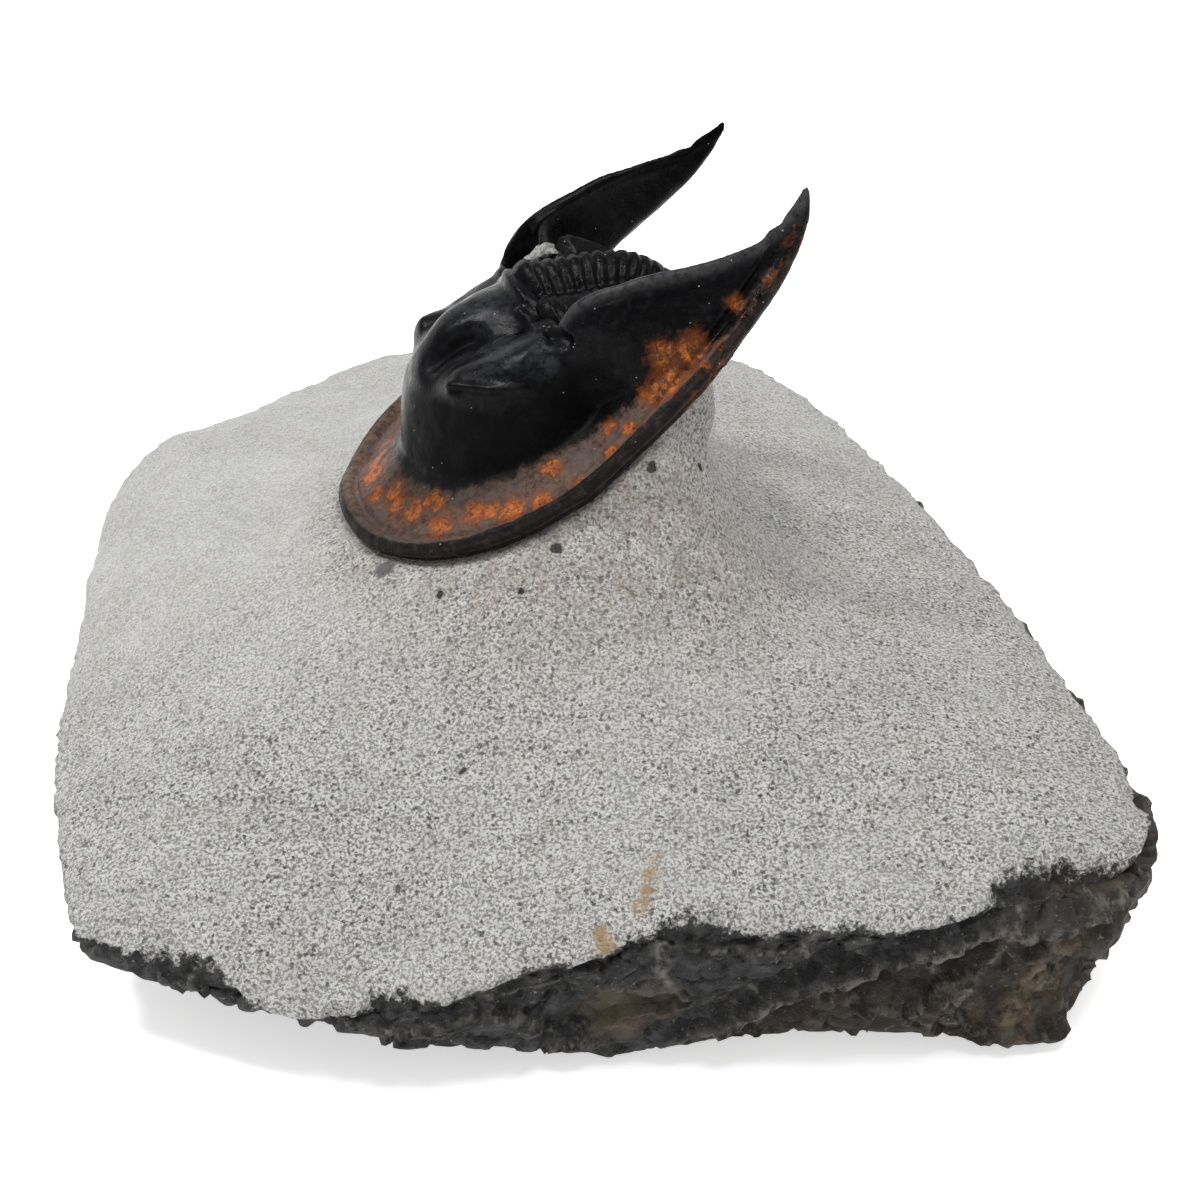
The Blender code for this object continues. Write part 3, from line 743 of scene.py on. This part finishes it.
    def soften_tips(self, made: Object) -> None:
        """Smooth the last stretch of each blade, where the solid's edges are stepped."""
        at = self.place.inward(self.read(made)[0])
        share = smooth(at[:, 1], 14, 17) * (1 - smooth(at[:, 1], 24, 25.5))
        group = made.vertex_groups.new(name="blade_ends")
        for index in np.nonzero(share > 0.02)[0]:
            group.add([int(index)], float(share[index]), "REPLACE")
        modify(made, "SMOOTH", factor=0.5, iterations=self.tip_smoothing, vertex_group=group.name)
        made.vertex_groups.clear()

    def build(self) -> Object:
        """Return the finished head shield."""
        made = self.start()
        self.soften_tips(made)
        world, away = self.read(made)
        on = ShieldPoints(self, self.place.inward(world), away)
        move = (self.dome_relief(on) + self.edge_relief(on) + self.skin_relief(on)) * smooth(on.tip, 0.5, 5.0)
        self.write(made, world + away * move[:, None] + self.shifts(on))
        self.keep(made, **self.marks(on))
        return self.dress(made, Shell(Skin.SHIELD).make("brim_and_dome"))

    def dome_relief(self, on: "ShieldPoints") -> Array:
        """Return how far the dome's ledges, furrows and swellings stand out."""
        ledge = self.ledge_ridge.rise(on.ledge)
        below = smooth(on.depth, 0.1, 1.2) * (1 - smooth(on.depth, 2.0, 5.0))
        ledge -= self.ledge_undercut * below * hill(on.ledge, 3.2)
        move = on.near * (1 - smooth(on.y, -1.5, 2.0)) * ledge
        move += on.near * self.eye_corner_ridge.rise(to_point(on.at, self.eye_corner))
        move -= 0.4 * on.far_eye
        half = 3.4 + 1.5 * smooth(on.y, -6.0, 3.0)
        side = self.side_furrow.rise(on.both[:, 0] - 0.9 * half)
        move += side * smooth(on.y, -5.5, -2.5) * (1 - smooth(on.y, 3.0, 4.5)) * smooth(on.z, 6.5, 8.0)
        move += self.middle_groove.rise(on.furrow) * on.furrow_taper
        for x, y, z, swell in self.cheek_swell:
            move += swell.rise(to_point(on.both, (x, y, z)))
        for ridge, line in self.rear_lines:
            move += ridge.rise(to_line(on.both, through(line)))
        return move

    def edge_relief(self, on: "ShieldPoints") -> Array:
        """Return the rise of the rim, its outer groove and the blades' inner edge."""
        move = smooth(on.up, -0.1, 0.3) * sum(ridge.rise(on.rim) for ridge in self.rim_ridges)
        move += sum(ridge.rise(on.inner) for ridge in self.inner_ridges)
        move += self.rim_groove.rise(on.rim) * smooth(-on.up, -0.55, -0.1) * on.front_part
        return move + 0.05 * hill(on.inner, 1.2) * smooth(on.y, 8, 14)

    def skin_relief(self, on: "ShieldPoints") -> Array:
        """Return the brim's pits and the shell's slight waviness."""
        pits = np.abs(noise_at(on.at, 0.55, 11)) + 0.6 * np.abs(noise_at(on.at, 0.3, 12))
        move = -0.13 * pits * smooth(on.brown, 0.2, 0.8) * smooth(on.rim, 1.2, 2.2)
        move += 0.10 * noise_at(on.at, 2.4, 13) + 0.03 * noise_at(on.at, 0.9, 14)
        return move + 0.09 * smooth(on.y, 6, 12) * on.brown * noise_at(on.at, 1.1, 15)

    def shifts(self, on: "ShieldPoints") -> Array:
        """Return the world moves of the blades' stepped corners, the far eye and the far shoulder."""
        corner = hill(to_point(on.both, self.stepped_corner), 1.2)
        drop = corner[:, None] * np.array((0.0, 0.0, self.corner_drop))
        shoulder = smooth(on.y, 2.5, 5.0) * (1 - smooth(on.y, 7.5, 12.5))
        shoulder *= smooth(-on.x, 4.5, 7.0) * smooth(on.z, 3, 7)
        shift = self.place.turned(drop) + on.far_eye[:, None] * np.array(self.far_eye_shift)
        return shift + shoulder[:, None] * np.array(self.far_shift)

    def marks(self, on: "ShieldPoints") -> dict[str, Array]:
        """Return where the brown brim, the rim, the rust, the dome's painted shade and its polished parts
        with their painted highlights lie.
        """
        on_left = smooth(on.x, 0, 4)
        # painted shade below the eye ledge and in the middle furrow, kept as a mark for the material
        shade = smooth(on.depth, 0.3, 1.4) * smooth(on.z, 1.0, 3.5) * (1 - smooth(on.y, 3, 8)) * on.near
        groove = 0.9 * hill(on.furrow, 0.7) * on.furrow_taper
        return {
            "rim_mm": on.rim / np.interp(on.y, (8, 14, 20, 26), (1.0, 0.8, 0.5, 0.3)),
            "rim_line": self.rim_tone.rise(on.rim) * smooth(-on.up, -0.75, -0.3) * on.front_part,
            "edge_rust": hill(on.rim - 0.5, 0.45) * smooth(on.y, 9, 12) * on_left,
            "old": smooth(on.y, 5, 8),
            "brown": on.brown * smooth(on.up, -0.6, -0.2),
            "rust": spots_at(on.at, self.rust, self.rust_spread),
            "margin": hill(on.inner - 0.35, 0.45) * on_left * smooth(on.up, -0.6, 0.0),
            "painted_shade": np.maximum(shade, groove),
            "gloss_and_painted_highlight": spots_at(on.at, self.gloss_and_highlight_spots),
        }


class ShieldPoints:
    """What the head shield's relief and finish ask of each point of its mesh."""

    def __init__(self, shield: HeadShield, at: Array, away: Array) -> None:
        """Measure the points at their places in the fossil's frame, with their outward directions."""
        self.at = at
        self.x, self.y, self.z = at.T
        self.both = np.stack((np.abs(self.x), self.y, self.z), axis=1)
        self.up = (away @ shield.place.matrix()[:3, :3])[:, 2]
        self.near = smooth(self.x, -1.0, 2.0)
        self.front_part = 1 - smooth(self.y, 12, 20)
        self.rim = to_line(at, shield.rim_line())
        inner = bezier(shield.inner_edge, np.linspace(0, 1, 120))
        self.inner = to_line(at, np.concatenate((inner, inner * np.array((-1, 1, 1)))))
        self.ledge = to_line(self.both, through(shield.eye_ledge))
        across, _, height = zip(*shield.eye_ledge)
        self.depth = np.interp(self.both[:, 0], across, height) - self.z
        self.far_eye = (1 - self.near) * hill(to_point(self.both, shield.eye_ledge[1]), 2.4)
        self.furrow = to_line(self.both, through(shield.middle_furrow))
        self.furrow_taper = smooth(self.y, -6.0, -3.2) * (1 - smooth(self.y, -0.9, 0.9))
        reach = np.interp(self.y, *zip(*shield.brown_reach))
        self.brown = np.clip(0.5 + (reach - self.rim) / 1.6, 0, 1)
        self.brown *= 1 - smooth(-self.x, 8, 12) * smooth(self.y, 1, 5)
        x, y, z = shield.outer_edge[-1]
        self.tip = to_line(at, np.array(((x, y, z), (-x, y - shield.right_shorter, z))))


@dataclass
class Body(Piece):
    """The row of narrow rings behind the head."""

    node: str = "thorax"
    name: str = "body_rings"
    subdivisions: int = 2
    voxel: float = 0.15
    smoothing: int = 12
    growth: float = 0.22
    crease: float = 0.8
    crest: tuple = ((5.4, 11.1), (8.5, 8.4), (14.5, 8.6), (14.9, 1.8))
    lean: float = 85.0
    rings: int = 14
    relief: float = 0.125
    rib_sweep: float = 0.10
    axis_width: tuple = ((0.0, 2.7), (0.5, 2.4), (1.0, 1.5))
    axis_furrow: Ridge = Ridge(-0.22, 0.35, 0.3)
    first_ring_shift: float = -0.7
    far_lift: float = 2.0

    def along(self, at: Array) -> Array:
        """Return each point's way along the body from 0 to 1, by the ring planes."""
        steps = np.linspace(-0.05, 1.05, 240)
        crest = bezier(self.crest, steps)
        lean = np.radians(self.lean) * steps
        down = np.stack((-np.sin(lean), -np.cos(lean)), axis=1)
        found = []
        for start in range(0, len(at), 8000):
            block = at[start : start + 8000, None, 1:]
            gap = block - crest[None]
            depth = (gap * down[None]).sum(axis=2)
            side = np.abs(gap[..., 0] * down[None, :, 1] - gap[..., 1] * down[None, :, 0])
            side = np.where((depth > -1.5) & (depth < 9), side, 99)
            found.append(steps[side.argmin(axis=1)])
        return np.concatenate(found)

    def build(self) -> Object:
        """Return the finished rings."""
        made = self.start()
        world, away = self.read(made)
        at = self.place.inward(world)
        across = np.abs(at[:, 0])
        phase = self.along(at) * self.rings + self.rib_sweep * np.clip(across - 2.5, 0, 9)
        move = self.relief * self.ring_relief(at, phase)
        move += 0.05 * noise_at(at, 1.2, 21) + 0.03 * noise_at(at, 0.4, 22)
        axis = np.interp(phase / self.rings, *zip(*self.axis_width))
        move += self.axis_furrow.rise(across - axis)
        shift = np.zeros((len(at), 3))
        shift[:, 1] = self.first_ring_shift * (1 - smooth(phase, 0.0, 0.5))
        shift[:, 2] = self.far_lift * smooth(-at[:, 0], 3.0, 6.5)
        shift[:, 2] *= smooth(phase, 3.7, 7.0) * (1 - smooth(phase, 9.0, 12.4))
        self.write(made, world + away * move[:, None] + self.place.turned(shift))
        return self.dress(made, Shell(Skin.BODY).make("ring_shell"))

    def ring_relief(self, at: Array, phase: Array) -> Array:
        """Return the rise and fall over the rings, where phase counts the rings before each point."""
        across = np.abs(at[:, 0])
        part = phase - np.floor(phase)
        ridge = hill(part - 0.5, 0.26) - 0.9 * hill(np.minimum(part, 1 - part), 0.13)
        ridge -= 0.5 * smooth(across, 2.6, 3.4) * hill(part - 0.5, 0.10)
        ridge *= 1 - 0.45 * smooth(across, 4.0, 6.5)
        return ridge * (0.75 + 0.6 * noise_at(at, 1.6, 23))


@dataclass
class Tail(Piece):
    """The small tail shield."""

    node: str = "pygidium"
    name: str = "tail_shield"
    subdivisions: int = 2
    voxel: float = 0.12
    smoothing: int = 1
    crease: float = 0.6
    ribs_per_mm: float = 1.1
    rib: Ridge = Ridge(0.14, 0.2)
    rise: float = 0.04

    def build(self) -> Object:
        """Return the finished tail shield."""
        made = self.start()
        world, away = self.read(made)
        at = self.place.inward(world)
        part = np.abs((at[:, 2] * self.ribs_per_mm) % 1.0 - 0.5)
        move = self.rise + self.rib.rise(part) + 0.03 * noise_at(at, 0.5, 31)
        self.write(made, world + away * move[:, None])
        return self.dress(made, Shell(Skin.BODY).make("tail_shell"))


@dataclass
class Block(Piece):
    """The block of limestone under the fossil. Its tuples of places are in the world's frame."""

    node: str = "matrix"
    name: str = "stone_block"
    subdivisions: int = 1
    voxel: float = 0.62
    smoothing: int = 1
    blasted_edge: tuple = (
        (-36, 8), (-31.8, 8.3), (-28.4, 8), (-24.5, 8.6), (-22.4, 7.6), (-18.4, 5.6), (-14, 6.7),
        (-12.8, 7.9), (-10.2, 8.5), (-7.6, 8.3), (-5.4, 9), (-2.8, 10.1), (-1, 10.8), (0.7, 10.3),
        (2.3, 11.1), (5.2, 12.4), (7.7, 13.4), (9, 13.4), (11.5, 12.8), (14.4, 13), (17.1, 13.1),
        (20.9, 13.3), (24.3, 13), (27, 13.9), (29.7, 15.3), (33.5, 15.8), (36.5, 15.6), (42, 15.4),
    )
    slant: tuple = ((2, 0.5), (6.3, 2), (11.1, 3.7), (16.4, 7.2), (24.4, 10.7), (29.4, 12.2), (42, 13.6))
    slant_ridges: tuple = (Ridge(1.3, 0.55), Ridge(-0.9, 1.2, -1.9), Ridge(-0.9, 1.0, 1.9))
    holes: tuple = (
        (-0.6, -19.3, 27.1, 0.55), (6.4, -15.4, 31.7, 0.6), (-3.2, -21.3, 24.7, 0.38),
        (-9.3, -19.5, 23.4, 0.42), (-7.3, -32.7, 16.6, 0.42), (10.4, -11.8, 30, 0.5),
    )
    hole_depth: float = 0.45
    facet_size: float = 6.5
    facet_stretch: tuple = (0.7, 1.0, 1.2)
    chip_depth: float = 0.65
    broken_depth: float = 0.5
    left_limit: float = -41.6
    back_corner: tuple = (-38.0, 25.0)
    clast: tuple = (-13.8, -14.9, 22.9)
    clast_radius: float = 1.0
    tan_spots: tuple = (
        (33.6, -42.5, 9.5, 2.4), (33.2, -43.3, 6, 2.4), (31.8, -44.5, 3, 2), (4.4, -46.4, 4.6, 1.5),
        (6, -46, 6.2, 1),
    )
    stains: tuple = (
        (2.9, -47.2, 12.4, 0.95), (2.6, -46.2, 12.7, 0.6), (5.3, -44.7, 13.9, 0.6), (5.8, -43.6, 14.4, 0.5),
        (6, -42.4, 14.8, 0.5), (6.3, -41.2, 15.4, 0.4), (6.2, -40.2, 15.9, 0.3), (4, -46.6, 5.2, 2.4),
        (6, -46.6, 6.1, 2),
    )

    def refine(self, made: Object) -> None:
        """Divide the faces that the picture shows close up: the rise under the fossil and the front edge."""
        with editing():
            bpy.ops.mesh.select_all(action="DESELECT")
        middle = np.empty(len(made.data.polygons) * 3, np.float32)
        made.data.polygons.foreach_get("center", middle)
        x, y, z = middle.reshape(-1, 3).T / MM
        front = (y < -43.5) & (z > 0.6)
        rise = (z > 21.5) & (y < 2) & (x < 16)
        made.data.polygons.foreach_set("select", front | rise)
        with editing():
            bpy.ops.mesh.subdivide(number_cuts=1, smoothness=0.0)

    def build(self) -> Object:
        """Return the finished block."""
        made = self.start()
        self.refine(made)
        world, away = self.read(made)
        on = BlockPoints(self, world, away)
        move = self.broken_relief(on) + self.blasted_relief(on)
        move = np.where(on.seat > 0, move * (1 - on.seat) - 0.02, move)
        move += on.behind * (0.25 * noise_at(world, 1.1, 49) + 0.15 * noise_at(world, 0.5, 50))
        shift = np.zeros((len(world), 3))
        lower = 0.2 * smooth(on.at[:, 2], 7.0, 8.6) + 1.6 * smooth(on.at[:, 1], 8.0, 10.0)
        shift[:, 2] = -on.behind * lower
        self.write(made, self.widened(on, world + away * move[:, None] + self.place.turned(shift)))
        self.keep(made, **self.marks(on))
        return self.dress(made, Limestone().make("sandblasted_limestone"))

    def broken_relief(self, on: "BlockPoints") -> Array:
        """Return the facets, the slanting ridge, the ragged edge and the chips of the broken stone."""
        small, seam = facets_at(on.world, 2.1, 70)
        rough = 0.95 * on.facet + 0.42 * small - 0.30 * hill(seam, 0.18) + 0.22 * noise_at(on.world, 0.9, 42)
        move = on.broken * (rough - self.broken_depth)
        slant = sum(ridge.rise(on.slant) for ridge in self.slant_ridges)
        move += on.broken * smooth(-on.y, 40, 43) * smooth(on.x, 4, 12) * slant
        edge = hill(on.up - 0.55, 0.35) * smooth(on.z, 3.0, 6.0) * (1 - smooth(on.z, 15.0, 19.0))
        move += edge * (0.34 * noise_at(on.world, 1.6, 53) + 0.24 * noise_at(on.world, 0.8, 54))
        chips = smooth(hill(on.top_mm, 1.2) * noise_at(on.world, 1.7, 43), 0.25, 0.7)
        return move - self.chip_depth * chips * on.foot

    def blasted_relief(self, on: "BlockPoints") -> Array:
        """Return the grain, the slow waves and the holes of the blasted stone."""
        grain = noise_at(on.world, 0.85, 44) + 0.6 * noise_at(on.world, 0.45, 45)
        waves = 0.16 * noise_at(on.world, 7.0, 46) + 0.22 * on.pedestal * noise_at(on.world, 2.6, 47)
        move = on.blasted * ((0.055 + 0.075 * on.pedestal) * grain + waves)
        return move - self.hole_depth * on.hole

    def widened(self, on: "BlockPoints", points: Array) -> Array:
        """Return the points with the left edge moved out and the back left corner filled."""
        wider = (0.7 + 0.5 * smooth(-on.y, 5, 20)) * smooth(-on.x, 26, 36) * smooth(on.z, 2, 6)
        points[:, 0] = np.maximum(points[:, 0] - wider, self.left_limit)
        corner = hill(to_point(on.world[:, :2], self.back_corner), 6.0) * smooth(on.z, 2, 6)
        points[:, 1] += 1.6 * corner
        points[:, 2] = np.maximum(points[:, 2] + 0.5 * corner, 0.0)
        return points

    def marks(self, on: "BlockPoints") -> dict[str, Array]:
        """Return where the blasted stone's grain, stains and painted shade lie, and the broken stone's tones,
        wear and painted highlight.
        """
        calm = smooth(-on.x, -8, 22) * smooth(on.y, -34, 2) + 0.5 * smooth(on.y, 0, 20)
        lump = np.linalg.norm((on.world - np.array(self.clast)) * np.array((1.0, 1.3, 1.0)), axis=1)
        lump += 0.25 * noise_at(on.world, 0.6, 55)
        # noise that breaks up the painted shade behind the head
        painted_shade_behind_head = noise_at(on.world, 1.3, 51) + 0.5 * noise_at(on.world, 0.5, 52)
        front = on.at_front * smooth(-on.slant, -0.4, 0.8) * smooth(on.x, 4, 10)
        side = smooth(on.x, 30, 36) * (1 - on.blasted)
        # the slanting ridge's crest, lightened as edge wear and as a painted highlight
        crest = hill(on.slant, 0.35) * on.at_front * smooth(on.x, 4, 12)
        return {
            "top_mm": on.top_mm,
            "pedestal": on.pedestal,
            "grain": np.maximum(1 - 0.9 * np.clip(calm, 0, 1), smooth(on.pedestal, 0.2, 0.7)),
            "ochre": smooth(spots_at(on.world, self.stains), 0.1, 0.6),
            # where the holes get their painted shade
            "hole": smooth(on.hole, 0.15, 0.85),
            "clast": smooth(lump, self.clast_radius + 0.15, self.clast_radius - 0.15),
            "painted_shade_behind_head": on.behind * smooth(painted_shade_behind_head, -0.35, 0.9),
            "rind": np.maximum(np.maximum(front, side), smooth(on.y, 10, 30) * 0.6),
            "worn_and_lit_edge": np.maximum(crest, hill(on.seam, 0.22)) * on.broken,
            "tan": smooth(spots_at(on.world, self.tan_spots), 0.2, 0.7),
        }


class BlockPoints:
    """What the block's relief and finish ask of each point of its mesh."""

    def __init__(self, block: Block, world: Array, away: Array) -> None:
        """Measure the points at their places in the world, with their outward directions."""
        self.world = world
        self.x, self.y, self.z = world.T
        self.up = away[:, 2]
        self.at = block.place.inward(world)
        self.at_front = smooth(-self.y, 38.0, 43.5)
        self.slant = self.z - np.interp(self.x, *zip(*block.slant))
        self.top_mm = self.above_edge(block)
        self.blasted = smooth(self.top_mm, -0.6, 0.6)
        self.foot = smooth(self.z, 0.2, 1.6)
        self.broken = (1 - self.blasted) * self.foot
        across, along, height = self.at.T
        self.pedestal = smooth(self.z, 17.5, 25.0) * smooth(-along + 0.9 * across, -2, 10)
        self.seat = smooth(height, -2.0, -0.6) * (np.hypot(across, along) < 19)
        self.behind = smooth(along, 3.5, 5.0) * smooth(height, 4.5, 6.5) * smooth(-across, -2.0, 0.0)
        self.hole = spots_at(world, block.holes)
        self.facet, self.seam = facets_at(world * np.array(block.facet_stretch), block.facet_size, 50)

    def above_edge(self, block: Block) -> Array:
        """Return how far each point lies inside the blasted part, below zero where the stone is broken."""
        front = np.minimum(self.z - np.interp(self.x, *zip(*block.blasted_edge)), 6.0)
        elsewhere = 5.0 * (self.up - 0.5 - 0.22 * smooth(self.x, 24, 34))
        elsewhere += 0.4 * noise_at(self.world, 3.0, 41)
        found = elsewhere * (1 - self.at_front) + front * self.at_front
        under_fossil = (np.hypot(self.at[:, 0], self.at[:, 1] * 0.9) < 20) & (self.at[:, 2] > -6)
        found = np.where(under_fossil, 4.0, found)
        over = self.z - 15.5 + 6.5 * smooth(-self.x, 22, 38) - 9.0 * smooth(self.x, 26, 33)
        return np.where(over > 0, np.maximum(found, 4.0 * smooth(over, 0.0, 2.0)), found)


@dataclass
class Studio:
    """The pale floor, the soft light and the camera. Lengths are metres."""

    target: tuple = (0.0026, -0.0060, 0.0150)
    distance: float = 0.19
    elevation: float = 30.0
    lens: float = 70.68
    sensor: float = 36.0
    floor_side: float = 16.0
    floor_drop: float = 0.00002
    floor_colour: Colour = (0.86, 0.86, 0.86)
    floor_glow: float = 0.55
    room: tuple = (0.0, 0.9, 0.54, 0.68)
    room_colour: Colour = (1.0, 0.997, 0.99)
    lit_point: tuple = (0.0, 0.0, 0.02)
    lamps: tuple = (("overhead", (0.10, -0.14, 0.62), 0.20, 2.2), ("window", (-0.30, 0.0, 0.56), 0.12, 2.5))

    def floor(self) -> None:
        """Lay a pale floor that sweeps up at the back."""
        bpy.ops.object.select_all(action="DESELECT")
        bpy.ops.mesh.primitive_plane_add(size=self.floor_side, location=(0, 0, -self.floor_drop))
        ground = bpy.context.object
        ground.name = "floor"
        bpy.ops.object.transform_apply(location=True, rotation=True, scale=True)
        with editing():
            bpy.ops.mesh.select_all(action="DESELECT")
        for edge in ground.data.edges:
            ends = [ground.data.vertices[i].co.y for i in edge.vertices]
            edge.select = min(ends) > 0.4 * self.floor_side
        with editing():
            bpy.ops.mesh.extrude_region_move(TRANSFORM_OT_translate={"value": (0, 0, 0.4 * self.floor_side)})
        modify(ground, "BEVEL", width=0.3 * self.floor_side, segments=12, limit_method="ANGLE")
        ground.data.shade_smooth()
        material = Nodes("pale_floor").finish(
            Base_Color=self.floor_colour,
            Roughness=0.85,
            Emission_Color=(1.0, 1.0, 1.0),
            Emission_Strength=self.floor_glow,
        )
        ground.data.materials.append(material)

    def hang(self, name: str, data: bpy.types.ID, place: Vector, towards: Vector) -> Object:
        """Hang a lamp or the camera at a place, facing another."""
        holder = bpy.data.objects.new(name, data)
        holder.location = place
        holder.rotation_euler = (towards - place).to_track_quat("-Z", "Y").to_euler()
        bpy.context.scene.collection.objects.link(holder)
        return holder

    def light(self) -> None:
        """Light the block from a white room that is brightest overhead, and from soft lamps."""
        world = bpy.data.worlds.new("white_room")
        world.use_nodes = True
        tree = world.node_tree
        coordinates = tree.nodes.new("ShaderNodeTexCoord")
        parts = tree.nodes.new("ShaderNodeSeparateXYZ")
        grade = tree.nodes.new("ShaderNodeMapRange")
        tree.links.new(coordinates.outputs["Generated"], parts.inputs[0])
        tree.links.new(parts.outputs["Z"], grade.inputs["Value"])
        tree.links.new(grade.outputs["Result"], tree.nodes["Background"].inputs["Strength"])
        for key, value in zip(("From Min", "From Max", "To Min", "To Max"), self.room):
            grade.inputs[key].default_value = value
        tree.nodes["Background"].inputs["Color"].default_value = (*self.room_colour, 1.0)
        bpy.context.scene.world = world
        for name, place, size, power in self.lamps:
            lamp = bpy.data.lights.new(name, "AREA")
            lamp.shape = "SQUARE"
            lamp.size = size
            lamp.energy = power
            self.hang(name, lamp, Vector(place), Vector(self.lit_point))
        bpy.context.scene.view_settings.view_transform = "Standard"

    def camera(self) -> None:
        """Stand the camera where the picture was taken from."""
        raised = math.radians(self.elevation)
        back = Vector((0, -math.cos(raised), math.sin(raised)))
        lens = bpy.data.cameras.new("camera")
        lens.lens = self.lens
        lens.sensor_width = self.sensor
        target = Vector(self.target)
        bpy.context.scene.camera = self.hang("camera", lens, target + back * self.distance, target)


def main() -> None:
    """Build every piece and the studio."""
    logging.basicConfig(level=logging.INFO, format="%(name)s: %(message)s")
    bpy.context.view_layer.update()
    for piece in (Block(), HeadShield(), Body(), Tail()):
        piece.build()
    studio = Studio()
    studio.floor()
    studio.light()
    studio.camera()


if __name__ == "__main__":
    main()
